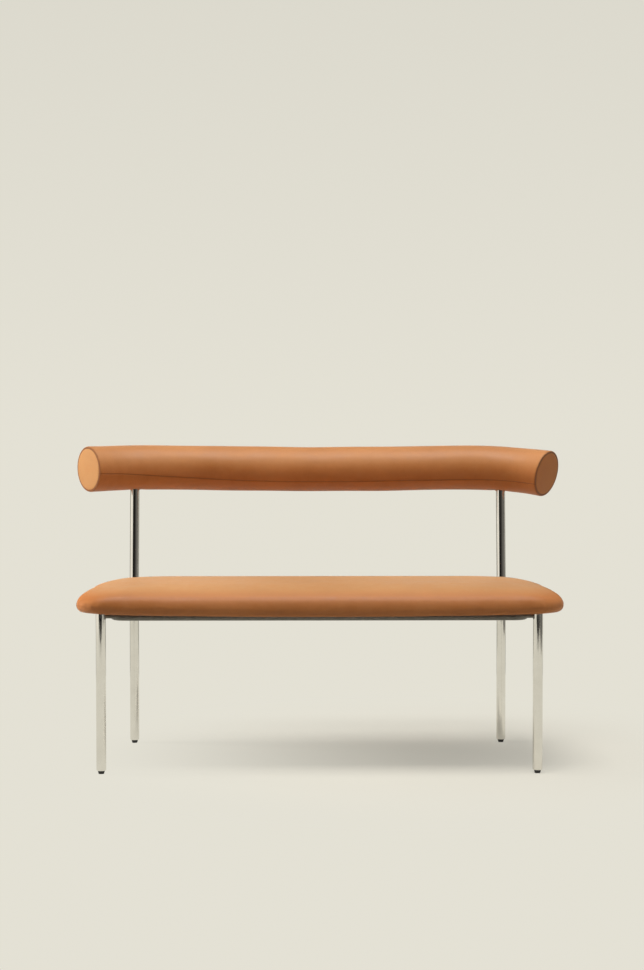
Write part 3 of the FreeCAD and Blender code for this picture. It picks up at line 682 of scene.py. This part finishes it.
def back_line(along):
    """Point and heading of the bolster's centre line, along being the signed length from the middle."""
    along = np.asarray(along, float)
    side, turn = np.sign(along), np.clip((np.abs(along) - BACK_STRAIGHT) / BACK_BEND, 0, None)
    x = side * (np.minimum(np.abs(along), BACK_STRAIGHT) + BACK_BEND * np.sin(turn))
    y = BACK_Y - BACK_BEND * (1 - np.cos(turn))
    span = np.clip(np.abs(x) / POST_X, 0, 1)
    start = by_side(side, DROOP_START)
    past = np.clip((np.abs(x) - start) / (BACK_END_X - start), 0, None)
    droop = by_side(side, END_DROOP) * past ** by_side(side, DROOP_POWER)
    z = BACK_Z - MID_SAG * (1 - smooth_step(span, 0.0, 1.0)) - droop
    return np.stack([x, y, z], -1), -side * turn


def back_axes(heading):
    """Unit vectors along the bolster, to its front and up, for each heading."""
    zero, one = np.zeros_like(heading), np.ones_like(heading)
    along = np.stack([np.cos(heading), np.sin(heading), zero], -1)
    front = np.stack([np.sin(heading), -np.cos(heading), zero], -1)
    return along, front, np.stack([zero, zero, one], -1)


def to_end(along):
    """Length left to the nearer end."""
    return BACK_HALF - np.abs(along)


def from_seam(around):
    """Length round the bolster to the long seam."""
    return np.minimum(around, 2 * math.pi - around) * BACK_RADIUS


def seam_turn(along):
    """The turn of the long seam above the front, at each length."""
    shares, degrees = zip(*SEAM_TURN)
    fine = np.linspace(-1, 1, SEAM_SAMPLES)
    rough = np.pad(np.interp(fine, shares, degrees), SEAM_BLUR // 2, mode="edge")
    soft = np.convolve(rough, np.ones(SEAM_BLUR) / SEAM_BLUR, mode="valid")
    return np.radians(np.interp(np.asarray(along) / BACK_HALF, fine, soft))


def tube_points(along, around, radius):
    """Points of the bolster: along and around are grids, around measured up from the long seam."""
    centre, heading = back_line(along)
    axis, front, up = back_axes(heading)
    turn = seam_turn(along) + around
    out = front * np.cos(turn)[..., None] + up * np.sin(turn)[..., None]
    lean = end_lean(along) * radius * np.sin(turn)
    return centre + out * np.asarray(radius)[..., None] + axis * lean[..., None]


def end_lean(along):
    """How much further out the bolster's top reaches than its middle, for each unit of height."""
    tilt = np.where(along < 0, -math.tan(END_TILT[-1]), math.tan(END_TILT[1]))
    return tilt * smooth_step(np.abs(along), BACK_HALF - TILT_RUN, BACK_HALF)


def bolster_swell():
    """How far stuffing pushes the leather out between its seams, as a grid over length and turn."""
    rows = np.linspace(-BACK_HALF, BACK_HALF, SWELL_ROWS)
    turns = np.arange(SWELL_AROUND) * 2 * math.pi / SWELL_AROUND
    along, around = np.meshgrid(rows, turns, indexing="ij")
    start = BACK_RADIUS - BACK_SWELL
    points = tube_points(along, around, np.full_like(along, start)).reshape(-1, 3)
    mesh = bpy.data.meshes.new("swell")
    mesh.from_pydata(points.tolist(), [], closed_faces(SWELL_ROWS, SWELL_AROUND))
    trial = new_object("swell", mesh)
    index = np.arange(len(points)).reshape(SWELL_ROWS, SWELL_AROUND)
    pinned = np.concatenate([index[:2].ravel(), index[-2:].ravel(), index[:, 0]])
    inflate(trial, pinned, 2 * BACK_SWELL)
    moved = get_points(mesh) - points
    bpy.data.objects.remove(trial)
    bpy.data.meshes.remove(mesh)
    away = (points - back_line(along.ravel())[0]) / start
    return soften((moved * away).sum(1).reshape(SWELL_ROWS, SWELL_AROUND))


def soften(grid):
    """Evens out a grid over its near neighbours, so that only the broad forms stay."""
    reach, count = SOFTEN_REACH, 2 * SOFTEN_REACH + 1
    for _ in range(SOFTEN_TIMES):
        grid = sum(np.roll(grid, step, axis=1) for step in range(-reach, reach + 1)) / count
        longer = np.pad(grid, ((reach, reach), (0, 0)), mode="edge")
        grid = sum(longer[step:step + len(grid)] for step in range(count)) / count
    return grid


def read_grid(grid, along, around):
    """Reads the swell grid at any length and turn, smoothly round its circle."""
    row = np.clip((along + BACK_HALF) / (2 * BACK_HALF), 0, 1) * (SWELL_ROWS - 1)
    col = (around / (2 * math.pi) % 1) * SWELL_AROUND
    r0 = np.minimum(row.astype(int), SWELL_ROWS - 2)
    c0 = col.astype(int) % SWELL_AROUND
    c1 = (c0 + 1) % SWELL_AROUND
    fr, fc = row - r0, col - col.astype(int)
    low = grid[r0, c0] * (1 - fc) + grid[r0, c1] * fc
    high = grid[r0 + 1, c0] * (1 - fc) + grid[r0 + 1, c1] * fc
    return low * (1 - fr) + high * fr


def soft_waves(along, turn):
    """Slow rises and hollows in the leather, and short folds inside the two bends."""
    rise = sum(size * MM * np.sin(rate * along + twist * turn + phase) for rate, twist, phase, size in WAVES)
    bend = smooth_step(np.abs(along), BACK_STRAIGHT, BACK_STRAIGHT + FOLD_START)
    bend *= smooth_step(to_end(along), *FOLD_END)
    inside = np.clip(np.cos(turn), 0, 1) ** 2
    fold = np.sin(FOLD_RATE * along + 1.7 * np.sin(2 * turn) + 5 * np.sin(9 * along))
    return rise + FOLD_HEIGHT * bend * inside * fold


def gathers(turn, count):
    """Uneven gathers round a sewn end, from -1 to 1."""
    return np.sin(count * turn + 2 * np.sin(3 * turn))


def post_dents(along, turn):
    """Shallow hollows where the leather is drawn in round the two posts."""
    apart = np.angle(np.exp(1j * (turn - POST_TURN))) * BACK_RADIUS
    away = np.hypot(np.abs(along) - POST_ALONG, apart)
    return DENT_DEPTH * np.exp(-(away / DENT_WIDTH) ** 2)


def seam_offsets():
    """Turns round the bolster, close together at the long seam and even elsewhere."""
    half = math.pi * BACK_RADIUS / MM
    even = np.linspace(SEAM_ROWS[-1], half, EVEN_ROWS + 1)[1:]
    side = np.array([*SEAM_ROWS, *even]) * MM / BACK_RADIUS
    return np.concatenate([side, (2 * math.pi - side[1:-1])[::-1]])


def bolster_rows():
    """Lengths of the rows along the bolster, and how far each is turned in at the sewn ends."""
    reach = BACK_HALF - END_ROUND
    body = np.linspace(-reach, reach, math.ceil(2 * reach / ROW_PITCH))
    curl = np.linspace(0, math.pi / 2, END_STEPS + 1)[1:]
    lip = np.append(reach + END_ROUND * np.sin(curl), BACK_HALF - RING_INSET)
    drop = np.append(END_ROUND * (1 - np.cos(curl)), RING_DEPTH)
    rows = np.concatenate([-lip[::-1], body, lip])
    return rows, np.concatenate([drop[::-1], np.zeros(len(body)), drop])


def bolster_radius(along, around, inward):
    """The leather's distance from the centre line, with its swell, seam, waves, gathers and dents."""
    turn, seam, end = seam_turn(along) + around, from_seam(around), to_end(along)
    radius = BACK_RADIUS - inward[:, None] + np.zeros_like(around)
    swell = bolster_swell()
    radius += read_grid(swell - swell.mean(), along, around)
    radius += SEAM_RIDGE * np.exp(-seam / SEAM_RIDGE_WIDTH)
    radius -= SEAM_GROOVE * np.exp(-(seam / SEAM_GROOVE_WIDTH) ** 2)
    radius += soft_waves(along, turn) * smooth_step(end, 0.0, WAVE_FREE)
    gathered = np.exp(-end / GATHER_RUN) * smooth_step(end, 0.0, GATHER_START)
    radius += GATHER_HEIGHT * gathers(turn, GATHER_COUNT) * gathered
    return radius - post_dents(along, turn)


def bolster():
    """The stuffed leather roll, with its long seam, gathers at the sewn ends and dents at the posts."""
    rows, inward = bolster_rows()
    offsets = seam_offsets()
    along, around = np.meshgrid(rows, offsets, indexing="ij")
    points = tube_points(along, around, bolster_radius(along, around, inward)).reshape(-1, 3)
    roll = new_piece("bolster", points, closed_faces(len(rows), len(offsets)), "tan_leather")
    # Painted shade in the long seam and at the sewn ends, where the sleeve turns in.
    ring_shade = np.exp(-np.clip(to_end(along) - RING_INSET, 0, None) / RING_SHADE_SPREAD)
    seam_shade = np.clip(np.exp(-(from_seam(around) / SEAM_SHADE_SPREAD) ** 2) + ring_shade, 0, 1)
    write_share(roll.data, "seam", seam_shade.ravel())
    # Painted highlight: faces that turn upwards are painted paler for the light on them.
    slope = np.sin(seam_turn(along) + around)
    write_share(roll.data, "painted_light", (BACK_PAINTED_LIGHT * smooth_step(slope, *BACK_PAINTED_LIGHT_SLOPE)).ravel())
    refine(roll)
    finish_piece(roll, "tan_leather")
    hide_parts("back_cover", "back_foam")


# The bolster's sewn ends. An end is domed in the middle, rolls over at its rim and is tucked in:

CAP_RADIUS = 57 * MM
CAP_AROUND = 144
CAP_SHARES = (0.08, 0.2, 0.35, 0.5, 0.65, 0.78, 0.88, 0.93)
CAP_DOME = 3.5 * MM
CAP_FALL = 0.9
CAP_ROLL = 0.05
CAP_ROLL_STEPS = 6
CAP_ROLL_TOP = 0.5 * MM
CAP_ROLL_DROP = 3.2 * MM
CAP_TUCK = 5 * MM
CAP_GATHER_COUNT = 40
CAP_GATHER_HEIGHT = 0.2 * MM
CAP_GATHER_FROM = 0.7
# How deep into the tuck the painted shade reaches its full darkness.
CAP_SHADE_DEPTH = 2 * MM
# The left end, lit by the left lamp, is painted paler: a painted highlight.
CAP_PAINTED_LIGHT = {-1: 0.9, 1: 0.0}
# Stitches: how thin their tips are, how high the middle stands and how far the tips dip.
STITCH_LENGTH = 3.0 * MM
STITCH_PITCH = 4.4 * MM
STITCH_RADIUS = 0.45 * MM
STITCH_RINGS = 7
STITCH_FACETS = 8
STITCH_TIP = 0.08
STITCH_RISE = 0.5
STITCH_DIP = 1.1
STITCH_INSET = 7 * MM


def end_place(side):
    """Matrix of one end of the bolster: its Z axis points out of the end, its Y axis up."""
    centre, heading = back_line(np.array([side * BACK_HALF]))
    along, _, _ = back_axes(heading)
    out = Vector(along[0] * side)
    up = Vector((0, 0, 1))
    across = up.cross(out)
    turn = Matrix((across, up, out)).transposed().to_4x4()
    return Matrix.Translation(Vector(centre[0])) @ turn


def cap_rings():
    """Radius and height of each ring of an end, from the dome outwards and down into the seam."""
    rings = [(share * CAP_RADIUS, CAP_DOME * (1 - CAP_FALL * share ** 2)) for share in CAP_SHARES]
    for k in range(1, CAP_ROLL_STEPS + 1):
        turn = math.pi / 2 * k / CAP_ROLL_STEPS
        radius = (1 - CAP_ROLL + CAP_ROLL * math.sin(turn)) * CAP_RADIUS
        rings.append((radius, CAP_ROLL_TOP - CAP_ROLL_DROP * (1 - math.cos(turn))))
    rings.append((CAP_RADIUS, -CAP_TUCK))
    return rings


def end_cap(side, name):
    """A round leather end, slightly domed and turned down into the ring seam."""
    rings, place, tilt = cap_rings(), end_place(side), math.tan(END_TILT[side])
    points, seam_shade = [place @ Vector((0, 0, CAP_DOME))], [0.0]
    for radius, height in rings:
        edge = max(0.0, radius / CAP_RADIUS - CAP_GATHER_FROM) / (1 - CAP_GATHER_FROM)
        for k in range(CAP_AROUND):
            turn = 2 * math.pi * k / CAP_AROUND
            pucker = CAP_GATHER_HEIGHT * edge * gathers(turn, CAP_GATHER_COUNT)
            across, up = radius * math.cos(turn), radius * math.sin(turn)
            points.append(place @ Vector((across, up, height + pucker + up * tilt)))
            # Painted shade, deeper as the leather tucks down into the ring seam.
            seam_shade.append(min(1.0, max(0.0, -height / CAP_SHADE_DEPTH)))
    faces = [(0, 1 + k, 1 + (k + 1) % CAP_AROUND) for k in range(CAP_AROUND)]
    faces += [tuple(1 + i for i in quad) for quad in rings_to_faces(len(rings), CAP_AROUND)]
    cap = new_piece(f"end_cap_{name}", points, faces, "tan_leather")
    write_share(cap.data, "seam", seam_shade)
    # Painted highlight: the whole left end is painted paler for the lamp that lights it.
    write_share(cap.data, "painted_light", np.full(len(seam_shade), CAP_PAINTED_LIGHT[side]))
    refine(cap)
    finish_piece(cap, "tan_leather")
    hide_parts(f"back_cap_{name}", f"back_end_disc_{name}")


def add_stitch(shell, place, length=STITCH_LENGTH, radius=STITCH_RADIUS):
    """One short bent length of thread or wire, along the place's X axis with its top along Z."""
    rings = []
    for k in range(STITCH_RINGS):
        share = k / (STITCH_RINGS - 1) * 2 - 1
        thick = radius * math.sqrt(max(STITCH_TIP, 1 - share ** 4))
        lift = radius * (STITCH_RISE - STITCH_DIP * share ** 2)
        ring = []
        for j in range(STITCH_FACETS):
            turn = 2 * math.pi * j / STITCH_FACETS
            local = Vector((share * length / 2, thick * math.cos(turn), lift + thick * math.sin(turn)))
            ring.append(shell.verts.new(place @ local))
        rings.append(ring)
    for first, second in zip(rings, rings[1:]):
        for j in range(STITCH_FACETS):
            after = (j + 1) % STITCH_FACETS
            shell.faces.new((first[j], first[after], second[after], second[j]))
    shell.faces.new(list(reversed(rings[0])))
    shell.faces.new(rings[-1])


def ring_stitches(side, name):
    """A row of fine stitches round the bolster, just behind its end seam."""
    shell = bmesh.new()
    along = side * (BACK_HALF - STITCH_INSET)
    count = round(2 * math.pi * BACK_RADIUS / STITCH_PITCH)
    centre, heading = back_line(np.array([along]))
    axis, front, up = (Vector(v[0]) for v in back_axes(heading))
    for k in range(count):
        turn = 2 * math.pi * k / count
        out = front * math.cos(turn) + up * math.sin(turn)
        over = up * math.cos(turn) - front * math.sin(turn)
        place = Matrix((over, axis, out)).transposed().to_4x4()
        lean = axis * float(end_lean(np.array(along))) * BACK_RADIUS * math.sin(turn)
        add_stitch(shell, Matrix.Translation(Vector(centre[0]) + out * BACK_RADIUS + lean) @ place)
    shell_piece(f"ring_stitches_{name}", shell, "tan_leather", THREAD)


# Rings where one round piece runs into another. The tubes they join, repeated from the part's sizes:

LEG_RADIUS = 12.5 * MM
RAIL_RADIUS = 9 * MM
STAY_RADIUS = 5 * MM
FRONT_LEG = (550 * MM, -264.5 * MM)
REAR_LEG = (507 * MM, 195.5 * MM)
LOOP_X = 520.5 * MM
RAIL_Z = 395 * MM
STAY_Z = 397 * MM
REAR_RAIL = (508.9 * MM, 130.5 * MM)
BEND_RUN = 30.9 * MM
RING_STEPS = 48
RING_FACETS = 10
WELD_BEAD = {"rear": 1.3 * MM, "stay": 1.0 * MM, "cross": 1.1 * MM, "bend": 0.8 * MM}
# The rolled edge of a post's hole: its thickness, its play round the post, and how far it is sunk.
COLLAR_BEAD = 1.4 * MM
COLLAR_PLAY = 0.8 * MM
COLLAR_SINK = 1.2 * MM


def saddle_ring(name, slot, centre, axis, across, radii, bead):
    """A bead round a small tube where it meets a large one.

    centre is on the large tube's axis, axis points out along the small tube, across lies along the
    large tube, and radii are the small and the large radius.
    """
    axis, across = Vector(axis).normalized(), Vector(across).normalized()
    third = axis.cross(across)
    small, large = radii
    points = []
    for k in range(RING_STEPS):
        turn = 2 * math.pi * k / RING_STEPS
        out = across * math.cos(turn) + third * math.sin(turn)
        height = math.sqrt(max(0.0, large ** 2 - (small * math.sin(turn)) ** 2))
        base = Vector(centre) + axis * height + out * small
        for j in range(RING_FACETS):
            facet = 2 * math.pi * j / RING_FACETS
            points.append(base + (out * math.cos(facet) + axis * math.sin(facet)) * bead)
    new_piece(name, points, rings_to_faces(RING_STEPS, RING_FACETS, looped=True), slot)


def welds(side, name):
    """Weld beads on one side of the frame."""
    back = Vector((side * (REAR_LEG[0] - LOOP_X), REAR_LEG[1] - FRONT_LEG[1], 0)).normalized()
    inward, up = Vector((-side, 0, 0)), Vector((0, 0, 1))
    butt = Vector((side * LOOP_X, FRONT_LEG[1], RAIL_Z)) + back * BEND_RUN
    joins = {
        "rear": ((side * REAR_LEG[0], REAR_LEG[1], RAIL_Z), -back, up, (RAIL_RADIUS, LEG_RADIUS)),
        "stay": ((side * FRONT_LEG[0], FRONT_LEG[1], STAY_Z), inward, up, (STAY_RADIUS, LEG_RADIUS)),
        "cross": ((side * REAR_RAIL[0], REAR_RAIL[1], RAIL_Z), inward, back, (RAIL_RADIUS, RAIL_RADIUS)),
        "bend": (butt, back, up, (RAIL_RADIUS, 0.0)),
    }
    for kind, (centre, axis, across, radii) in joins.items():
        saddle_ring(f"weld_{kind}_{name}", "rail_steel", centre, axis, across, radii, WELD_BEAD[kind])


def post_collar(side, name):
    """The rolled leather edge of the hole that a post goes into."""
    centre, heading = back_line(np.array([side * POST_ALONG]))
    along, _, _ = back_axes(heading)
    down = (0, -math.sin(POST_LEAN), -math.cos(POST_LEAN))
    radii = (LEG_RADIUS + COLLAR_PLAY, BACK_RADIUS - COLLAR_SINK)
    saddle_ring(f"post_collar_{name}", "tan_leather", centre[0], down, along[0], radii, COLLAR_BEAD)


# Under the seat.

CLOTH_HALF = (581 * MM, 204.2 * MM)
CLOTH_MIDDLE = -61.4 * MM
CLOTH_Z = 404.75 * MM
CLOTH_THICK = 0.5 * MM
CLOTH_STEPS = (140, 50)
CLOTH_CORNER = 50 * MM
# The cloth ripples upwards, from nothing at its held edge to this height further in.
CLOTH_RIPPLE = 0.9 * MM
CLOTH_FREE = (15 * MM, 60 * MM)
STAPLE_LENGTH = 10 * MM
STAPLE_RADIUS = 0.25 * MM
STAPLE_PITCH = 46 * MM
STAPLE_INSET = 9 * MM


def round_corner(x, y):
    """Draws the square corners of the cloth in to round ones."""
    over_x, over_y = (abs(v) - (half - CLOTH_CORNER) for v, half in zip((x, y), CLOTH_HALF))
    if min(over_x, over_y) <= 0:
        return x, y
    share = max(over_x, over_y) / math.hypot(over_x, over_y) - 1
    return x + math.copysign(1, x) * over_x * share, y + math.copysign(1, y) * over_y * share


def cloth_height(x, y):
    """How far the cloth ripples up at a place."""
    edge = min(CLOTH_HALF[0] - abs(x), CLOTH_HALF[1] - abs(y))
    long_wave = math.sin(21 * x + 4 * math.sin(6 * y))
    cross_wave = math.cos(17 * y + 3 * math.sin(5 * x))
    return CLOTH_RIPPLE * smooth_step(edge, *CLOTH_FREE) * (0.5 + 0.5 * long_wave * cross_wave)


def dust_cloth():
    """The black cloth stapled under the seat, drawn tight with slight ripples."""
    wide, deep = CLOTH_STEPS
    points, faces = [], []
    for i in range(wide + 1):
        for j in range(deep + 1):
            x, y = round_corner((2 * i / wide - 1) * CLOTH_HALF[0], (2 * j / deep - 1) * CLOTH_HALF[1])
            points.append((x, CLOTH_MIDDLE + y, CLOTH_Z + cloth_height(x, y)))
    for i in range(wide):
        for j in range(deep):
            a, b = i * (deep + 1) + j, (i + 1) * (deep + 1) + j
            faces.append((a, a + 1, b + 1, b))
    cloth = new_piece("seat_dust_cloth", points, faces, "dust_cloth")
    thick = cloth.modifiers.new("Thick", "SOLIDIFY")
    thick.thickness, thick.offset = CLOTH_THICK, 0
    apply_modifiers(cloth)
    finish_piece(cloth, "dust_cloth")
    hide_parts("dust_cover")


def staples():
    """Wire staples round the edge of the dust cloth."""
    shell = bmesh.new()
    for along, across in ((0, 1), (1, 0)):
        half, side = CLOTH_HALF[along] - STAPLE_INSET, CLOTH_HALF[across] - STAPLE_INSET
        count = round(2 * half / STAPLE_PITCH)
        turn = Matrix.Rotation(math.radians(90 * along), 4, "Z") @ Matrix.Rotation(math.pi, 4, "X")
        for k in range(count):
            for sign in (-1, 1):
                spot = Vector((0, CLOTH_MIDDLE, CLOTH_Z - CLOTH_THICK / 2))
                spot[along] += -half + 2 * half * (k + 0.5) / count
                spot[across] += sign * side
                add_stitch(shell, Matrix.Translation(spot) @ turn, STAPLE_LENGTH, STAPLE_RADIUS)
    shell_piece("dust_cloth_staples", shell, "zinc_steel")


# Studio, light and camera. The background's colours, low and high, and the height between them:

PALE = rgb(0.775, 0.752, 0.662)
PALE_HIGH = rgb(0.700, 0.680, 0.600)
PALE_RISE = 0.3
WORLD_COLOUR = rgb(1.0, 0.96, 0.88)
WORLD_STRENGTH = 0.05
FLOOR_HALF = 60.0
FLOOR_LIT = rgb(0.82, 0.796, 0.715)
FLOOR_DIM = rgb(0.42, 0.395, 0.34)
# Where the shadow is deepest, how far it reaches, and how much background shows even there.
FLOOR_CENTRE = (0.3, 0.05, 0.0)
FLOOR_REACH = 1.0
FLOOR_LEAST = 0.43
WHITE, WARM_WHITE = (1.0, 0.97, 0.92), (1.0, 0.95, 0.88)
LAMPS = {
    "key": {"place": (0.0, -1.0, 5.2), "target": (0.0, 0.0, 0.45), "size": (2.4, 2.0),
            "power": 218, "colour": WHITE, "mirrored": True},
    "left": {"place": (-2.9, 0.2, 1.1), "target": (0.0, 0.0, 0.6), "size": (1.0, 1.0),
             "power": 66, "colour": WARM_WHITE, "mirrored": False},
    "right": {"place": (3.4, -1.2, 1.2), "target": (0.0, 0.0, 0.6), "size": (2.0, 1.4),
              "power": 18, "colour": WARM_WHITE, "mirrored": False},
}
# Screens: both ends of each panel's foot, and its brightness.
SCREENS = (
    ((-3.3, -3.1), (0.2, -3.1), 0.012),
    ((0.2, -3.1), (2.6, -3.1), 0.06),
    ((2.6, -3.1), (3.4, 1.2), 0.16),
    ((-3.6, 2.6), (-2.6, 3.4), 0.05),
    ((2.6, 3.4), (3.6, 2.6), 0.05),
    ((-3.7, 1.4), (-3.7, -2.4), 1.0),
    ((-1.6, 1.35), (-0.95, 1.45), 0.03),
    ((-0.22, 1.5), (0.22, 1.5), 0.08),
    ((0.95, 1.45), (1.6, 1.35), 0.03),
)
SCREEN_HEIGHT = 2.6
SCREEN_TINT = (1.0, 0.95, 0.86)
SCREEN_RANGE = (0.85, 1.15)
# The camera looks a little down and to the right.
CAMERA_PLACE = (-0.0484, -4.9052, 0.8734)
CAMERA_TURN = (math.radians(90 - 1.805), 0, math.radians(-0.669))
CAMERA_LENS = 68.66


def seen_directly(tree):
    """1 for rays from the camera, and for those mirrored or let through; 0 for scattered light."""
    path = add(tree, "LightPath").outputs
    seen = maths(tree, "MAXIMUM", path["Is Camera Ray"], path["Is Glossy Ray"])
    return maths(tree, "MAXIMUM", seen, path["Is Transmission Ray"])


def studio_world():
    """Soft even light from all round, in front of a plain pale background."""
    world = bpy.data.worlds.new("studio")
    bpy.context.scene.world = world
    tree = blank_tree(world)
    up = add(tree, "SeparateXYZ", {0: add(tree, "TexCoord").outputs["Generated"]}).outputs[2]
    pale = blend(tree, up, 0.0, PALE_RISE, PALE, PALE_HIGH)
    light = add(tree, "Background", {"Color": WORLD_COLOUR, "Strength": WORLD_STRENGTH}).outputs[0]
    plain = add(tree, "Background", {"Color": pale}).outputs[0]
    both = add(tree, "MixShader", {0: seen_directly(tree), 1: light, 2: plain}).outputs[0]
    add(tree, "OutputWorld", {0: both})


def paint_floor():
    """A pale floor that keeps the shadow near the bench and runs out into the background."""
    material = bpy.data.materials.new("floor")
    tree = blank_tree(material)
    coords = add(tree, "TexCoord").outputs["Object"]
    colour = mix(tree, seen_directly(tree), FLOOR_DIM, FLOOR_LIT)
    lit = add(tree, "BsdfDiffuse", {"Color": colour}).outputs[0]
    plain = add(tree, "Emission", {"Color": PALE}).outputs[0]
    far = add(tree, "VectorMath", {0: coords, 1: FLOOR_CENTRE}, operation="DISTANCE").outputs["Value"]
    run = {"Value": far, "From Min": 0.0, "From Max": FLOOR_REACH, "To Min": FLOOR_LEAST}
    share = add(tree, "MapRange", run, interpolation_type="SMOOTHSTEP")
    shown = maths(tree, "MULTIPLY", share.outputs[0], seen_directly(tree))
    both = add(tree, "MixShader", {0: shown, 1: lit, 2: plain}).outputs[0]
    add(tree, "OutputMaterial", {0: both})
    return material


def stage_panel(name, corners, material):
    """A flat four-cornered panel in one material, linked into the scene."""
    mesh = bpy.data.meshes.new(name)
    mesh.from_pydata(corners, [], [(0, 1, 2, 3)])
    mesh.materials.append(material)
    panel = new_object(name, mesh)
    return panel


def studio_floor():
    corners = [(x * FLOOR_HALF, y * FLOOR_HALF, 0) for x, y in ((-1, -1), (1, -1), (1, 1), (-1, 1))]
    stage_panel("floor", corners, paint_floor())


def area_lamp(name, place, target, size, power, colour, mirrored):
    lamp = bpy.data.lights.new(name, "AREA")
    lamp.shape = "RECTANGLE"
    lamp.size, lamp.size_y = size
    lamp.energy = power
    lamp.color = colour
    holder = new_object(name, lamp)
    holder.location = place
    holder.rotation_euler = (Vector(target) - Vector(place)).to_track_quat("-Z", "Y").to_euler()
    holder.visible_glossy = mirrored


def studio_light():
    """A large soft box high in front, a small one on the left and a weak one on the right."""
    for name, lamp in LAMPS.items():
        area_lamp(name, **lamp)


def paint_screen(grey):
    """A cloth screen, a little uneven, that gives off its own warm grey."""
    material = bpy.data.materials.new("screen")
    tree = blank_tree(material)
    cloud = noise(tree, add(tree, "TexCoord").outputs["Object"], 1.5)
    dim, full = (rgb(*(tint * share * grey for tint in SCREEN_TINT)) for share in SCREEN_RANGE)
    glow = add(tree, "Emission", {"Color": mix(tree, cloud, dim, full)}).outputs[0]
    add(tree, "OutputMaterial", {0: glow})
    return material


def dark_screens():
    """Screens round the set, seen only as the dark and bright streaks in the polished tubes."""
    for number, (first, last, grey) in enumerate(SCREENS):
        feet = [(*first, 0.0), (*last, 0.0)]
        heads = [(*last, SCREEN_HEIGHT), (*first, SCREEN_HEIGHT)]
        screen = stage_panel(f"screen_{number}", feet + heads, paint_screen(grey))
        screen.visible_camera = screen.visible_diffuse = screen.visible_shadow = False


def camera():
    data = bpy.data.cameras.new("camera")
    data.lens = CAMERA_LENS
    holder = new_object("camera", data)
    holder.location, holder.rotation_euler = CAMERA_PLACE, CAMERA_TURN
    bpy.context.scene.camera = holder


camera()
studio_world()
studio_floor()
studio_light()
dark_screens()
bpy.context.scene.view_settings.view_transform = "Standard"
paint_frame()
seat_pad()
bolster()
for end, end_name in ((-1, "left"), (1, "right")):
    end_cap(end, end_name)
    ring_stitches(end, end_name)
    post_collar(end, end_name)
    welds(end, end_name)
dust_cloth()
staples()
